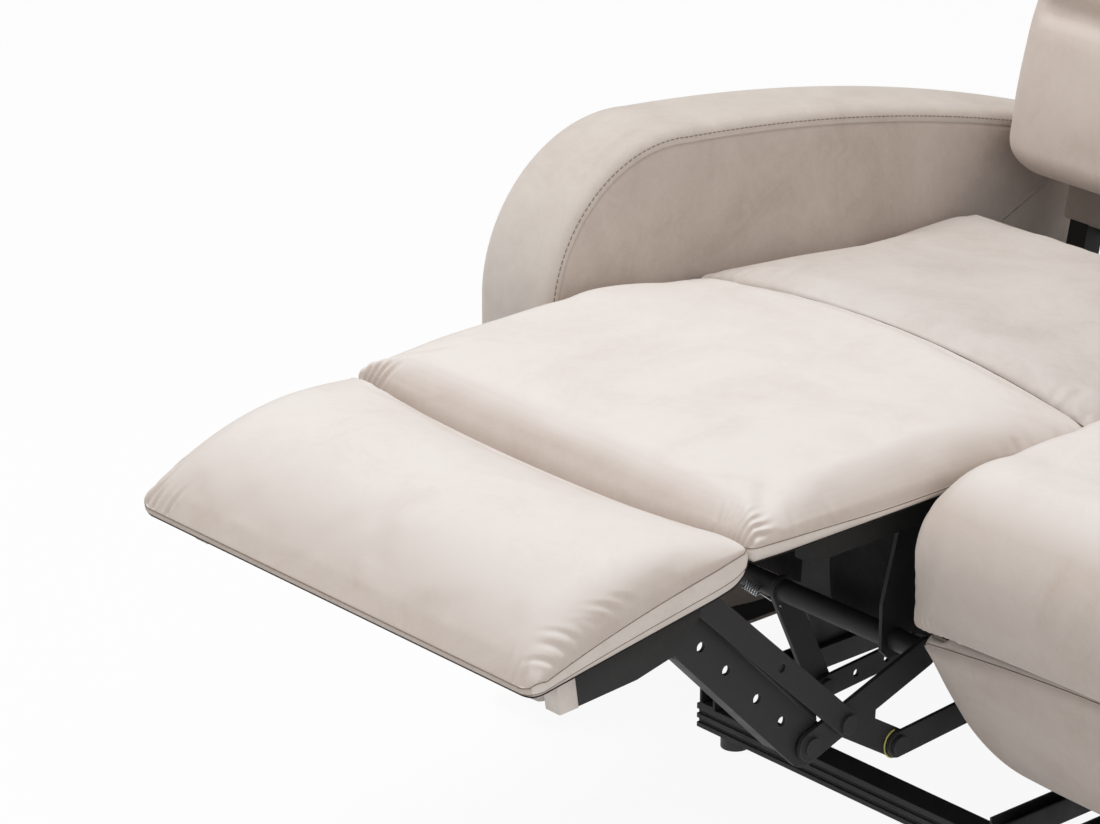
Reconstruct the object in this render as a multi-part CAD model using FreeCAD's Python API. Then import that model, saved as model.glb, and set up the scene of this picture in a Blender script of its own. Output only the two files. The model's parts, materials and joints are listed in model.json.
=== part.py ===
import FreeCAD, Part
import math
import os
from FreeCAD import Vector

# Two-seat reclining sofa, millimetres, +Z up, the sitter looks along -Y.
# Side views are written as (y, z), with y counted back from the front of the arms.
# One seat is written open, about its own middle plane (d = 0, d > 0 towards the sofa's middle).
# The left seat stays open. The right seat is the same seat mirrored and folded shut.

# Widths
BAY_WIDTH = 565.0
ARM_THICK = 105.0
PAD_GAP = 5.0
PAD_HALF = BAY_WIDTH / 2 - PAD_GAP
SEAT_X = -BAY_WIDTH / 2

# Boards and pads
PLY = 12.0
PAD_MARGIN = 30.5
BOARD_HALF = PAD_HALF - PAD_MARGIN
DECK_Z = 427.0
PAD_TOP = 471.0
THIGH_BACK = 190.0
SEAT_BACK = 575.0
HINGE_GAP = 2.0

# Barrel hinges under the boards
HINGE_PITCH = 150.0
HINGE_SPOTS = (-HINGE_PITCH, 0.0, HINGE_PITCH)
KNUCKLE_R = 5.0
KNUCKLE_LENGTH = 30.0
KNUCKLE_FREE = 0.2
HINGE_PIN_R = 2.5
HINGE_ROOM = 0.6
LEAF = 2.0
LEAF_LENGTH = 24.0

# Seat frame
RAIL_THICK = 22.0
RAIL_IN = BOARD_HALF - RAIL_THICK
RAIL_LOW = 24.0
RAIL_DEEP = 28.0
FRONT_RAIL_Y = 70.0
REAR_RAIL_Y = 538.0
WEB_THICK = 2.5
WEB_WIDTH = 50.0
WEB_PITCH = 75.0
WEB_END = 4.0
APRON_LOW_Z = 245.0
APRON_FREE = 6.0
SLIT_TOP_Z = 350.0
SLIT_FREE = 14.0
CLOTH = 3.0

# Side view of the linkage, open
LEG_HINGE = (-150.0, DECK_Z)
FOOT_HINGE = (-249.0, DECK_Z)
FOOT_LENGTH = 262.0
FOOT_TILT = 8.3
CRANK_PIVOT = (28.0, 254.0)
FRONT_PIN = (-120.0, 204.0)
REAR_PIN = (-80.0, 217.0)
DRIVE_PIN = (-12.0, 174.0)
LEVER_PIN = (82.0, 136.0)
FRONT_END = (-306.4, 396.0)
REAR_END = (-271.2, 400.5)
ROCKER_STEP = (300.0, 22.0)
ROCKER_PIVOT = (CRANK_PIVOT[0] + ROCKER_STEP[0], CRANK_PIVOT[1] + ROCKER_STEP[1])

# Travel from open to shut, degrees and millimetres, positive about +X
LEG_TURN = 90.0
FOOT_TURN = 34.0
CRANK_TURN = 102.41
FRONT_TURN = -98.02
REAR_TURN = -98.73
SEAT_TRAVEL = 125.0
BACK_TURN = 30.0
LEVER_TURN = 35.0

# Layers of the linkage, as distances from the seat's middle plane
PLATE = 5.0
LINK = 4.0
LAYER_GAP = 2.0
LINKAGE_INSET = 28.0
FLANGE_DEEP = 18.0
HANGER_ROOM = 12.0
TRACK_INSET = 20.5
CRANK_D = BOARD_HALF - LINKAGE_INSET
WEB_D = CRANK_D - LINK - 1.5 * LAYER_GAP
FLANGE_D = WEB_D - FLANGE_DEEP
OUT_D = CRANK_D + PLATE + LAYER_GAP
HANGER_D = FLANGE_D - HANGER_ROOM - LINK
LEVER_D = 26.0
BAR_D = LEVER_D + PLATE + LAYER_GAP
APRON_HALF = HANGER_D - APRON_FREE

# Round parts
TUBE_R = 11.0
TUBE_WALL = 2.5
STUB_R = 6.0
PIN_R = 5.0
PIN_FREE = 0.1
TUBE_FREE = 0.4
FRONT_SLACK = 1.4
REAR_SLACK = 3.3
HEAD_R = 9.5
HEAD_THICK = 4.0

# Base
RAIL_Y = 107.0
RAIL_SECTION = 30.0
RAIL_TOP = 38.0
RAIL_FOOT = 12.0
REAR_RAIL = 700.0
SIDE_TRACK_X = HANGER_D - TRACK_INSET - SEAT_X
MID_TRACK_X = BAY_WIDTH / 2 - BOARD_HALF - LINK / 2
RAIL_OVERHANG = 15.0
RAIL_END = SIDE_TRACK_X + RAIL_OVERHANG
TRACK_WIDTH = 22.0
TRACK_WALL = 2.5
TRACK_HIGH = 24.0
RUNNER_FREE = 0.5
RUNNER_START = 250.0
RUNNER_LENGTH = 270.0
GLIDE_R = 15.0
GLIDE_INSET = 41.0
INNER_GLIDE_X = 60.0
ARM_GLIDE_INSET = 70.0
TIE_Y = 420.0
TIE_WIDTH = 40.0
TIE_THICK = 6.0
TIE_FOOT = 5.0
TIE_LIFT = 4.0
TIE_RISE = 56.0
REAR_BOARD_INSET = 12.0
REAR_BOARD_THICK = 18.0
REAR_BOARD_LOW_Z = 60.0
REAR_BOARD_TOP_Z = 300.0

# Arms
ARM_BOTTOM = 30.0
ARM_BACK = 800.0
ARM_PEAK = 606.0
PEAK_Y = 190.0
SHOULDER_Z = 440.0
SHOULDER = (48.0, 560.0)
ARM_SLOPE = (470.0, 566.0)
ARM_REAR_Z = 474.0
ARM_CORE_INSET = 18.0
LINING_TOP = 440.0
LINING_START = 25.0
LINING_LIFT = 10.0
LINING = 1.5

# Backs
BACK_PIVOT = (725.0, 340.0)
BACK_TILT = 12.0
BACK_TOP = 985.0
BACK_DEPTH = 167.0
STILE = 26.0
STILE_D = BOARD_HALF - RAIL_THICK
BACK_CUT_Z = 486.0
POST_FREE = 2.0

# Release levers
LEVER_AT = (230.0, 330.0)
LEVER_LENGTH = 112.0
LEVER_THICK = 10.0
BEZEL = 4.0
LEVER_GAP = 4.0
LEVER_SHAFT_R = 6.0

X_AXIS = Vector(1, 0, 0)


def box(x0, x1, y0, y1, z0, z1):
    """A block between two corners."""
    return Part.makeBox(x1 - x0, y1 - y0, z1 - z0, Vector(x0, y0, z0))


def rod(at, radius, x0, x1):
    """A cylinder along X at the side-view point."""
    return Part.makeCylinder(radius, x1 - x0, Vector(x0, at[0], at[1]), X_AXIS)


def pipe(at, radius, bore, x0, x1):
    """A tube along X at the side-view point."""
    return rod(at, radius, x0, x1).cut(rod(at, bore, x0 - 1, x1 + 1))


def panel(points, x0, x1):
    """A plate with the given side-view outline."""
    corners = [Vector(x0, y, z) for y, z in points]
    face = Part.Face(Part.makePolygon(corners + corners[:1]))
    return face.extrude(Vector(x1 - x0, 0, 0))


def bar(start, end, radius, x0, x1):
    """A flat bar with round ends around two side-view points."""
    dy, dz = end[0] - start[0], end[1] - start[1]
    length = math.hypot(dy, dz)
    ny, nz = -dz / length * radius, dy / length * radius
    ey, ez = dy / length * radius, dz / length * radius
    a = Vector(x0, start[0] + ny, start[1] + nz)
    b = Vector(x0, end[0] + ny, end[1] + nz)
    c = Vector(x0, end[0] - ny, end[1] - nz)
    d = Vector(x0, start[0] - ny, start[1] - nz)
    far = Vector(x0, end[0] + ey, end[1] + ez)
    near = Vector(x0, start[0] - ey, start[1] - ez)
    edges = [Part.makeLine(a, b), Part.Arc(b, far, c).toShape()]
    edges += [Part.makeLine(c, d), Part.Arc(d, near, a).toShape()]
    return Part.Face(Part.Wire(edges)).extrude(Vector(x1 - x0, 0, 0))


def along(start, end, share, offset=0.0):
    """A side-view point on the line between two others, moved square to it."""
    dy, dz = end[0] - start[0], end[1] - start[1]
    length = math.hypot(dy, dz)
    return (start[0] + dy * share - dz / length * offset,
            start[1] + dz * share + dy / length * offset)


def turned(point, centre, degrees):
    """A side-view point turned about another, positive about +X."""
    angle = math.radians(degrees)
    y, z = point[0] - centre[0], point[1] - centre[1]
    return (centre[0] + y * math.cos(angle) - z * math.sin(angle),
            centre[1] + y * math.sin(angle) + z * math.cos(angle))


def turn(shape, centre, degrees):
    """A copy of the shape turned about an X axis through a side-view point."""
    copy = shape.copy()
    copy.rotate(Vector(0, centre[0], centre[1]), X_AXIS, degrees)
    return copy


def section(x, y0, y1, z0, z1, crown, bulge):
    """One closed section of a pad: flat underside, crowned top and swelling ends."""
    a, b = Vector(x, y0, z0), Vector(x, y1, z0)
    c, d = Vector(x, y1, z1), Vector(x, y0, z1)
    middle = (z0 + z1) / 2
    edges = [Part.makeLine(a, b)]
    edges.append(Part.Arc(b, Vector(x, y1 + bulge, middle), c).toShape())
    edges.append(Part.Arc(c, Vector(x, (y0 + y1) / 2, z1 + crown), d).toShape())
    edges.append(Part.Arc(d, Vector(x, y0 - bulge, middle), a).toShape())
    return Part.Wire(edges)


def pad(half, y0, y1, z0, z1, crown, bulge, draw=6.0):
    """A stuffed pad across the seat: crowned, lower and drawn in towards its two sides."""
    low = z0 + (z1 - z0) * 0.45
    soft = z0 + (z1 - z0) * 0.86
    rows = [(-half, draw, low, 0.35), (-half + 22, draw * 0.4, soft, 0.7), (-half * 0.5, 0, z1, 1),
            (0, 0, z1, 1.1), (half * 0.5, 0, z1, 1), (half - 22, draw * 0.4, soft, 0.7),
            (half, draw, low, 0.35)]
    wires = []
    for x, inset, top, share in rows:
        wires.append(section(x, y0 + bulge + inset, y1 - bulge - inset, z0, top, crown * share, bulge))
    return Part.makeLoft(wires, True, False)


def pair(shape):
    """The shape and its mirror about the seat's middle plane."""
    return [shape, shape.mirror(Vector(0, 0, 0), X_AXIS)]


def group(shapes):
    """Separate solids of one piece."""
    return Part.makeCompound(shapes)


def link_hole(shape, at, radius):
    """The shape with a round hole along X."""
    return shape.cut(rod(at, radius, -400, 400))


def hinge_halves(at, side, has_pin):
    """The leaves and knuckles of one of the two boards that meet at a hinge line."""
    halves = []
    for middle in HINGE_SPOTS:
        x0, x1 = middle - KNUCKLE_LENGTH, middle - KNUCKLE_FREE
        if has_pin:
            x0, x1 = middle + KNUCKLE_FREE, middle + KNUCKLE_LENGTH
        ends = sorted((at[0], at[0] + side * LEAF_LENGTH))
        half = box(x0, x1, ends[0], ends[1], at[1] - LEAF, at[1]).fuse(rod(at, KNUCKLE_R, x0, x1))
        if has_pin:
            half = half.fuse(rod(at, HINGE_PIN_R, middle - KNUCKLE_LENGTH, x1))
        else:
            half = link_hole(half, at, HINGE_PIN_R + PIN_FREE)
        halves.append(half.removeSplitter())
    return halves


def hinge_notches(board, at):
    """The board with room for the knuckles along a hinge line."""
    for middle in HINGE_SPOTS:
        reach = KNUCKLE_LENGTH + HINGE_ROOM
        board = board.cut(rod(at, KNUCKLE_R + HINGE_ROOM, middle - reach, middle + reach))
    return board


def seat_frame():
    """Side rails, cross rails and the board under the thighs."""
    side = box(RAIL_IN, BOARD_HALF, LEG_HINGE[0] + HINGE_GAP, REAR_RAIL_Y + RAIL_THICK,
               DECK_Z - RAIL_LOW, DECK_Z)
    low = DECK_Z - RAIL_LOW - RAIL_DEEP
    solids = pair(side)
    for y in (FRONT_RAIL_Y, REAR_RAIL_Y):
        solids.append(box(-BOARD_HALF, BOARD_HALF, y, y + RAIL_THICK, low, low + RAIL_DEEP))
    board = box(-BOARD_HALF, BOARD_HALF, LEG_HINGE[0] + HINGE_GAP, FRONT_RAIL_Y, DECK_Z, DECK_Z + PLY)
    solids.append(hinge_notches(board, LEG_HINGE))
    return group(solids + hinge_halves(LEG_HINGE, 1, False))


def leg_board():
    """The short board between the two hinge lines."""
    board = box(-BOARD_HALF, BOARD_HALF, FOOT_HINGE[0] + HINGE_GAP, LEG_HINGE[0] - HINGE_GAP, DECK_Z, DECK_Z + PLY)
    board = hinge_notches(hinge_notches(board, LEG_HINGE), FOOT_HINGE)
    return group([board] + hinge_halves(LEG_HINGE, -1, True) + hinge_halves(FOOT_HINGE, 1, False))


def webbing():
    """Elastic straps stretched over the cross rails."""
    top = DECK_Z - RAIL_LOW
    straps = []
    for step in range(-2, 3):
        middle = step * WEB_PITCH
        straps.append(box(middle - WEB_WIDTH / 2, middle + WEB_WIDTH / 2, FRONT_RAIL_Y + WEB_END,
                          REAR_RAIL_Y + RAIL_THICK - WEB_END, top, top + WEB_THICK))
    return group(straps)


def seat_cushion():
    """The sitting cushion: a crowned pad with a thick core sunk between the rails."""
    top = pad(PAD_HALF, THIGH_BACK + 1, SEAT_BACK, DECK_Z + 2, PAD_TOP, 7, 8)
    floor = DECK_Z - RAIL_LOW + WEB_THICK
    core = box(-HANGER_D + 5, HANGER_D - 5, THIGH_BACK + 16, REAR_RAIL_Y - 6, floor, DECK_Z + 10)
    return top.fuse(core).removeSplitter()


def apron():
    """The cloth hung from the front cross rail, slit where the middle arm swings through."""
    top = DECK_Z - RAIL_LOW
    cloth = box(-APRON_HALF, APRON_HALF, FRONT_RAIL_Y - CLOTH, FRONT_RAIL_Y, APRON_LOW_Z, top)
    slit = box(LEVER_D - SLIT_FREE, BAR_D + LINK + HEAD_THICK + SLIT_FREE + 4, FRONT_RAIL_Y - 2 * CLOTH, FRONT_RAIL_Y + CLOTH,
               APRON_LOW_Z - 1, SLIT_TOP_Z)
    return cloth.cut(slit)


def hangers():
    """Plates that hold the two cross shafts under the frame."""
    top = DECK_Z - RAIL_LOW
    y, z = CRANK_PIVOT
    outline = [(FRONT_RAIL_Y, top), (FRONT_RAIL_Y, top - RAIL_DEEP), (y + 18, z - 8), (y + 8, z - 18),
               (y - 8, z - 18), (y - 18, z - 8), (y - 18, z + 40), (FRONT_RAIL_Y - 30, top)]
    front = panel(outline, HANGER_D, HANGER_D + LINK)
    front = front.fuse(box(HANGER_D, HANGER_D + 26, FRONT_RAIL_Y - LINK, FRONT_RAIL_Y, top - RAIL_DEEP, top))
    front = link_hole(front, CRANK_PIVOT, TUBE_R + TUBE_FREE)
    y, z = ROCKER_PIVOT
    under = DECK_Z - RAIL_LOW
    outline = [(y - 34, under), (y - 16, z - 8), (y - 7, z - 17), (y + 7, z - 17), (y + 16, z - 8), (y + 34, under)]
    side = panel(outline, HANGER_D, HANGER_D + LINK)
    side = side.fuse(box(HANGER_D, BOARD_HALF, y - 34, y + 34, under - LINK, under))
    side = side.fuse(rod(ROCKER_PIVOT, STUB_R, HANGER_D, OUT_D - 0.5))
    bridge = box(-HANGER_D, HANGER_D, y - 14, y + 14, under - 3 * LINK, under - 2 * LINK)
    drop = LEVER_D - 2 * LINK
    middle = bar(ROCKER_PIVOT, (y, under - 3 * LINK), 14, drop, drop + LINK)
    middle = middle.common(box(-HANGER_D, HANGER_D, y - 50, y + 50, 0, under - 3 * LINK))
    middle = middle.fuse(rod(ROCKER_PIVOT, STUB_R, drop, LEVER_D + PLATE + 0.5))
    return group(pair(front.removeSplitter()) + pair(side.removeSplitter()) + [bridge, middle.removeSplitter()])


def side_plates():
    """The two carrying plates: one on the near side rail, one between the cross rails."""
    foot = RAIL_TOP + TRACK_HIGH
    start, end = RUNNER_START, RUNNER_START + RUNNER_LENGTH
    near = BAY_WIDTH / 2 - MID_TRACK_X
    outline = [(start, foot), (end, foot), (end, foot + 30), (REAR_RAIL_Y, 330), (REAR_RAIL_Y, DECK_Z),
               (start - 40, DECK_Z), (start - 40, 330), (start, foot + 30)]
    plate = panel(outline, BOARD_HALF, BOARD_HALF + LINK)
    plate = plate.fuse(box(near - LINK / 2, BOARD_HALF + LINK, start, end, foot, foot + LINK))
    far = SIDE_TRACK_X + SEAT_X
    low = DECK_Z - RAIL_LOW - RAIL_DEEP
    outline = [(start, foot), (end, foot), (end, foot + 30), (REAR_RAIL_Y, low), (REAR_RAIL_Y, low + RAIL_DEEP),
               (FRONT_RAIL_Y + RAIL_THICK, low + RAIL_DEEP), (FRONT_RAIL_Y + RAIL_THICK, low), (start, foot + 30)]
    inner = panel(outline, -far - LINK / 2, -far + LINK / 2)
    bridge = (ROCKER_PIVOT[0], DECK_Z - RAIL_LOW - 2.5 * LINK)
    inner = inner.cut(box(-300, 300, bridge[0] - 16, bridge[0] + 16, bridge[1] - 5, bridge[1] + 20))
    return group([plate.removeSplitter(), inner])


def runners():
    """The sliding shoes that ride in the tracks."""
    half = TRACK_WIDTH / 2 - TRACK_WALL - RUNNER_FREE
    solids = []
    for middle in (BAY_WIDTH / 2 - MID_TRACK_X, -SIDE_TRACK_X - SEAT_X):
        solids.append(box(middle - half, middle + half, RUNNER_START, RUNNER_START + RUNNER_LENGTH,
                          RAIL_TOP + TRACK_WALL + RUNNER_FREE, RAIL_TOP + TRACK_HIGH))
    return group(solids)


def footrest_board():
    """The board under the footrest pad."""
    y = FOOT_HINGE[0]
    board = box(-BOARD_HALF, BOARD_HALF, y - FOOT_LENGTH + 8, y - HINGE_GAP, DECK_Z, DECK_Z + PLY)
    return group([hinge_notches(board, FOOT_HINGE)] + hinge_halves(FOOT_HINGE, -1, True))


def footrest_pad():
    """The footrest pad: thick at the crease and thin at its lip."""
    y = FOOT_HINGE[0]
    start, end = y - FOOT_LENGTH, y - HINGE_GAP
    top = DECK_Z + PLY
    wires = []
    for x, low, share in ((-PAD_HALF, 10, 0.3), (-PAD_HALF + 24, 20, 0.7), (-PAD_HALF * 0.5, 30, 1),
                          (PAD_HALF * 0.5, 30, 1), (PAD_HALF - 24, 20, 0.7), (PAD_HALF, 10, 0.3)):
        inset = 10 * (1 - share)
        a, b = Vector(x, start + inset, top), Vector(x, end - 4, top)
        c, d = Vector(x, end - 4, top + low * 0.8), Vector(x, start + inset, top + low * 0.25)
        crest = Vector(x, start + FOOT_LENGTH * 0.45, top + low + 9 * share)
        edges = [Part.makeLine(a, b), Part.Arc(b, Vector(x, end, top + low * 0.4), c).toShape()]
        edges += [Part.Arc(c, crest, d).toShape(), Part.makeLine(d, a)]
        wires.append(Part.Wire(edges))
    return Part.makeLoft(wires, True, False)


def footrest_brackets():
    """Plates under the footrest with the end pins of both links, written before the tilt."""
    front = turned(FRONT_END, FOOT_HINGE, -FOOT_TILT)
    rear = turned(REAR_END, FOOT_HINGE, -FOOT_TILT)
    plate = bar(front, rear, 11, CRANK_D, CRANK_D + PLATE)
    web = panel([(front[0] - 8, front[1]), (rear[0] + 8, rear[1]), (rear[0] + 4, DECK_Z), (front[0] - 30, DECK_Z)],
                CRANK_D, CRANK_D + PLATE)
    plate = plate.fuse(web)
    plate = plate.common(box(0, 400, -900, 900, 0, DECK_Z))
    plate = plate.fuse(box(CRANK_D - 20, CRANK_D + PLATE, front[0] - 60, rear[0] + 4, DECK_Z - 3, DECK_Z))
    plate = plate.fuse(rod(front, PIN_R, WEB_D - 6, CRANK_D + 1))
    plate = plate.fuse(rod(rear, PIN_R - 1, CRANK_D + 1, OUT_D + LINK + 2))
    return group(pair(plate.removeSplitter()))


def bell_cranks():
    """The big levers on the ends of the front tube, with their riveted pins."""
    plate = bar(CRANK_PIVOT, FRONT_PIN, 15, CRANK_D, CRANK_D + PLATE)
    plate = plate.fuse(bar(REAR_PIN, DRIVE_PIN, 14, CRANK_D, CRANK_D + PLATE))
    plate = plate.fuse(panel([along(REAR_PIN, CRANK_PIVOT, 0.4), REAR_PIN, along(REAR_PIN, DRIVE_PIN, 0.6)],
                             CRANK_D, CRANK_D + PLATE))
    plate = plate.fuse(rod(FRONT_PIN, PIN_R, WEB_D - 0.5, CRANK_D + 1))
    plate = plate.fuse(rod(FRONT_PIN, HEAD_R, WEB_D - HEAD_THICK - 0.5, WEB_D - 0.5))
    plate = plate.fuse(rod(FRONT_PIN, HEAD_R, CRANK_D + PLATE, CRANK_D + PLATE + HEAD_THICK))
    for pin in (REAR_PIN, DRIVE_PIN):
        plate = plate.fuse(rod(pin, PIN_R, CRANK_D + 1, OUT_D + LINK + 0.5))
        plate = plate.fuse(rod(pin, HEAD_R, OUT_D + LINK + 0.5, OUT_D + LINK + 0.5 + HEAD_THICK))
    return group(pair(plate.removeSplitter()))


def middle_arm(pivot, bore):
    """The arm that works the middle bar, with its riveted pin."""
    reach = (LEVER_PIN[0] - CRANK_PIVOT[0], LEVER_PIN[1] - CRANK_PIVOT[1])
    end = (pivot[0] + reach[0], pivot[1] + reach[1])
    arm = bar(pivot, end, 14, LEVER_D, LEVER_D + PLATE)
    arm = link_hole(arm, pivot, bore)
    arm = arm.fuse(rod(end, PIN_R, LEVER_D + 1, BAR_D + LINK + 0.5))
    return arm.fuse(rod(end, HEAD_R, BAR_D + LINK + 0.5, BAR_D + LINK + 0.5 + HEAD_THICK))


def crank_tube():
    """The front cross tube with its middle arm."""
    tube = pipe(CRANK_PIVOT, TUBE_R, TUBE_R - TUBE_WALL, -CRANK_D, CRANK_D)
    return tube.fuse(middle_arm(CRANK_PIVOT, TUBE_R - 1)).removeSplitter()


def rear_rockers():
    """Three rockers on stub pins: one for each long link and one for the middle bar."""
    step = (DRIVE_PIN[0] - CRANK_PIVOT[0], DRIVE_PIN[1] - CRANK_PIVOT[1])
    tip = (ROCKER_PIVOT[0] + step[0], ROCKER_PIVOT[1] + step[1])
    end = bar(ROCKER_PIVOT, tip, 13, CRANK_D, CRANK_D + PLATE)
    end = link_hole(end, ROCKER_PIVOT, STUB_R + PIN_FREE)
    end = end.fuse(rod(tip, PIN_R, CRANK_D + 1, OUT_D + LINK + 0.5))
    end = end.fuse(rod(tip, HEAD_R, OUT_D + LINK + 0.5, OUT_D + LINK + 0.5 + HEAD_THICK))
    return group(pair(end.removeSplitter()) + [middle_arm(ROCKER_PIVOT, STUB_R + PIN_FREE).removeSplitter()])


def front_links():
    """Wide pressed links with folded edges and a row of four holes."""
    half = 23.0
    neck = along(FRONT_PIN, FRONT_END, 0.78)
    link = bar(FRONT_PIN, neck, half, WEB_D, WEB_D + LINK)
    link = link.fuse(bar(neck, FRONT_END, 14, WEB_D, WEB_D + LINK))
    for side in (-1, 1):
        inner = side * (half - LINK)
        outer = side * half
        corners = [along(FRONT_PIN, neck, 0.12, inner), along(FRONT_PIN, neck, 1.0, inner),
                   along(FRONT_PIN, neck, 1.0, outer), along(FRONT_PIN, neck, 0.12, outer)]
        link = link.fuse(panel(corners, FLANGE_D, WEB_D + 1))
    for share in (0.17, 0.34, 0.55, 0.72):
        link = link_hole(link, along(FRONT_PIN, FRONT_END, share), 5.0)
    link = link_hole(link, FRONT_PIN, PIN_R + PIN_FREE)
    link = link_hole(link, FRONT_END, PIN_R + FRONT_SLACK)
    return group(pair(link.removeSplitter()))


def rear_links():
    """Plain flat links behind the wide ones, on the other face of the levers."""
    link = bar(REAR_PIN, REAR_END, 12.5, OUT_D, OUT_D + LINK)
    link = link_hole(link, along(REAR_PIN, REAR_END, 0.45), 4.5)
    link = link_hole(link, REAR_PIN, PIN_R + PIN_FREE)
    link = link_hole(link, REAR_END, PIN_R - 1 + REAR_SLACK)
    return group(pair(link))


def drive_links():
    """Long links from the levers to the rear shaft."""
    end = (DRIVE_PIN[0] + ROCKER_STEP[0], DRIVE_PIN[1] + ROCKER_STEP[1])
    link = bar(DRIVE_PIN, end, 13, OUT_D, OUT_D + LINK)
    for pin in (DRIVE_PIN, end):
        link = link_hole(link, pin, PIN_R + PIN_FREE)
    return group(pair(link))


def level_bar():
    """The middle bar with its row of holes."""
    end = (LEVER_PIN[0] + ROCKER_STEP[0], LEVER_PIN[1] + ROCKER_STEP[1])
    link = bar(LEVER_PIN, end, 12, BAR_D, BAR_D + LINK)
    for pin in (LEVER_PIN, end):
        link = link_hole(link, pin, PIN_R + PIN_FREE)
    for share in (0.14, 0.28, 0.42):
        link = link_hole(link, along(LEVER_PIN, end, share), 4.0)
    return link


def back_frame():
    """Stiles, rails and the rear panel of one back, written upright."""
    y, z = BACK_PIVOT
    solids = []
    stile = box(STILE_D, STILE_D + STILE, y - STILE / 2, y + STILE / 2, z - 16, BACK_TOP - 30)
    solids += pair(link_hole(stile, BACK_PIVOT, PIN_R + 1 + PIN_FREE))
    for low in (BACK_CUT_Z + 10, 700, BACK_TOP - 90):
        solids.append(box(-STILE_D, STILE_D, y - STILE / 2 + 2, y + STILE / 2 - 2, low, low + 60))
    solids.append(box(-BOARD_HALF, BOARD_HALF, y + STILE / 2, y + STILE / 2 + 5, z + 40, BACK_TOP - 40))
    return group(solids)


def back_cushion():
    """A tall crowned cushion, with its foot level above the seat."""
    y = BACK_PIVOT[0] - STILE / 2
    wires = []
    for x, inset, crown in ((-PAD_HALF, 22, 3), (-PAD_HALF + 30, 8, 12), (0, 0, 22), (PAD_HALF - 30, 8, 12),
                            (PAD_HALF, 22, 3)):
        low, top = 430.0, BACK_TOP - inset
        front = y - BACK_DEPTH + 24 + inset
        a, b = Vector(x, y, low), Vector(x, y, top - 30)
        c, d = Vector(x, front, top - 40), Vector(x, front, low)
        edges = [Part.makeLine(a, b), Part.Arc(b, Vector(x, (y + front) / 2, top), c).toShape()]
        edges += [Part.Arc(c, Vector(x, front - crown, (low + top) / 2), d).toShape(), Part.makeLine(d, a)]
        wires.append(Part.Wire(edges))
    cushion = turn(Part.makeLoft(wires, True, False), BACK_PIVOT, -BACK_TILT)
    return cushion.cut(box(-500, 500, 0, 1500, 0, BACK_CUT_Z))


# Body of each seat piece, and how each body is carried: parent, pivot, turn to the shut pose
SEAT_BODIES = {
    "carriage": ["seat_frame", "webbing", "seat_cushion", "thigh_pad", "apron", "hangers", "side_plates", "runners"],
    "leg": ["leg_board", "leg_pad"],
    "footrest": ["footrest_board", "footrest_pad", "footrest_brackets"],
    "crank": ["crank_tube", "bell_cranks"],
    "front_link": ["front_links"],
    "rear_link": ["rear_links"],
    "drive_link": ["drive_links"],
    "level_bar": ["level_bar"],
    "rocker": ["rear_rockers"],
    "back": ["back_frame", "back_cushion"],
}
CARRIED = {
    "leg": ("carriage", LEG_HINGE, LEG_TURN),
    "footrest": ("leg", FOOT_HINGE, FOOT_TURN),
    "crank": ("carriage", CRANK_PIVOT, CRANK_TURN),
    "front_link": ("crank", FRONT_PIN, FRONT_TURN),
    "rear_link": ("crank", REAR_PIN, REAR_TURN),
    "drive_link": ("crank", DRIVE_PIN, -CRANK_TURN),
    "level_bar": ("crank", LEVER_PIN, -CRANK_TURN),
    "rocker": ("carriage", ROCKER_PIVOT, CRANK_TURN),
}


def shut_pose(shape, body):
    """The shape carried from the open pose to the shut pose of its body."""
    while body in CARRIED:
        parent, pivot, degrees = CARRIED[body]
        shape = turn(shape, pivot, degrees)
        body = parent
    moved = shape.copy()
    if body == "carriage":
        moved.translate(Vector(0, SEAT_TRAVEL, 0))
    return moved


def shut_point(point, body):
    """A side-view point carried to the shut pose of its body."""
    while body in CARRIED:
        parent, pivot, degrees = CARRIED[body]
        point = turned(point, pivot, degrees)
        body = parent
    return (point[0] + SEAT_TRAVEL, point[1]) if body == "carriage" else point


def seat_pieces():
    """All pieces of one seat, open, about its own middle plane."""
    leg_start, leg_end = FOOT_HINGE[0] + HINGE_GAP, LEG_HINGE[0] - HINGE_GAP
    pieces = {
        "seat_frame": seat_frame(),
        "webbing": webbing(),
        "seat_cushion": seat_cushion(),
        "thigh_pad": pad(PAD_HALF, LEG_HINGE[0] + HINGE_GAP, THIGH_BACK, DECK_Z + PLY, PAD_TOP, 6, 3),
        "apron": apron(),
        "hangers": hangers(),
        "side_plates": side_plates(),
        "runners": runners(),
        "leg_board": leg_board(),
        "leg_pad": pad(PAD_HALF, leg_start, leg_end, DECK_Z + PLY, PAD_TOP - 3, 4, 3),
        "crank_tube": crank_tube(),
        "bell_cranks": bell_cranks(),
        "front_links": front_links(),
        "rear_links": rear_links(),
        "drive_links": drive_links(),
        "level_bar": level_bar(),
        "rear_rockers": rear_rockers(),
        "back_frame": turn(back_frame(), BACK_PIVOT, -BACK_TILT),
        "back_cushion": back_cushion(),
    }
    for name, shape in (("footrest_board", footrest_board()), ("footrest_pad", footrest_pad()),
                        ("footrest_brackets", footrest_brackets())):
        pieces[name] = turn(shape, FOOT_HINGE, FOOT_TILT)
    return pieces


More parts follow.
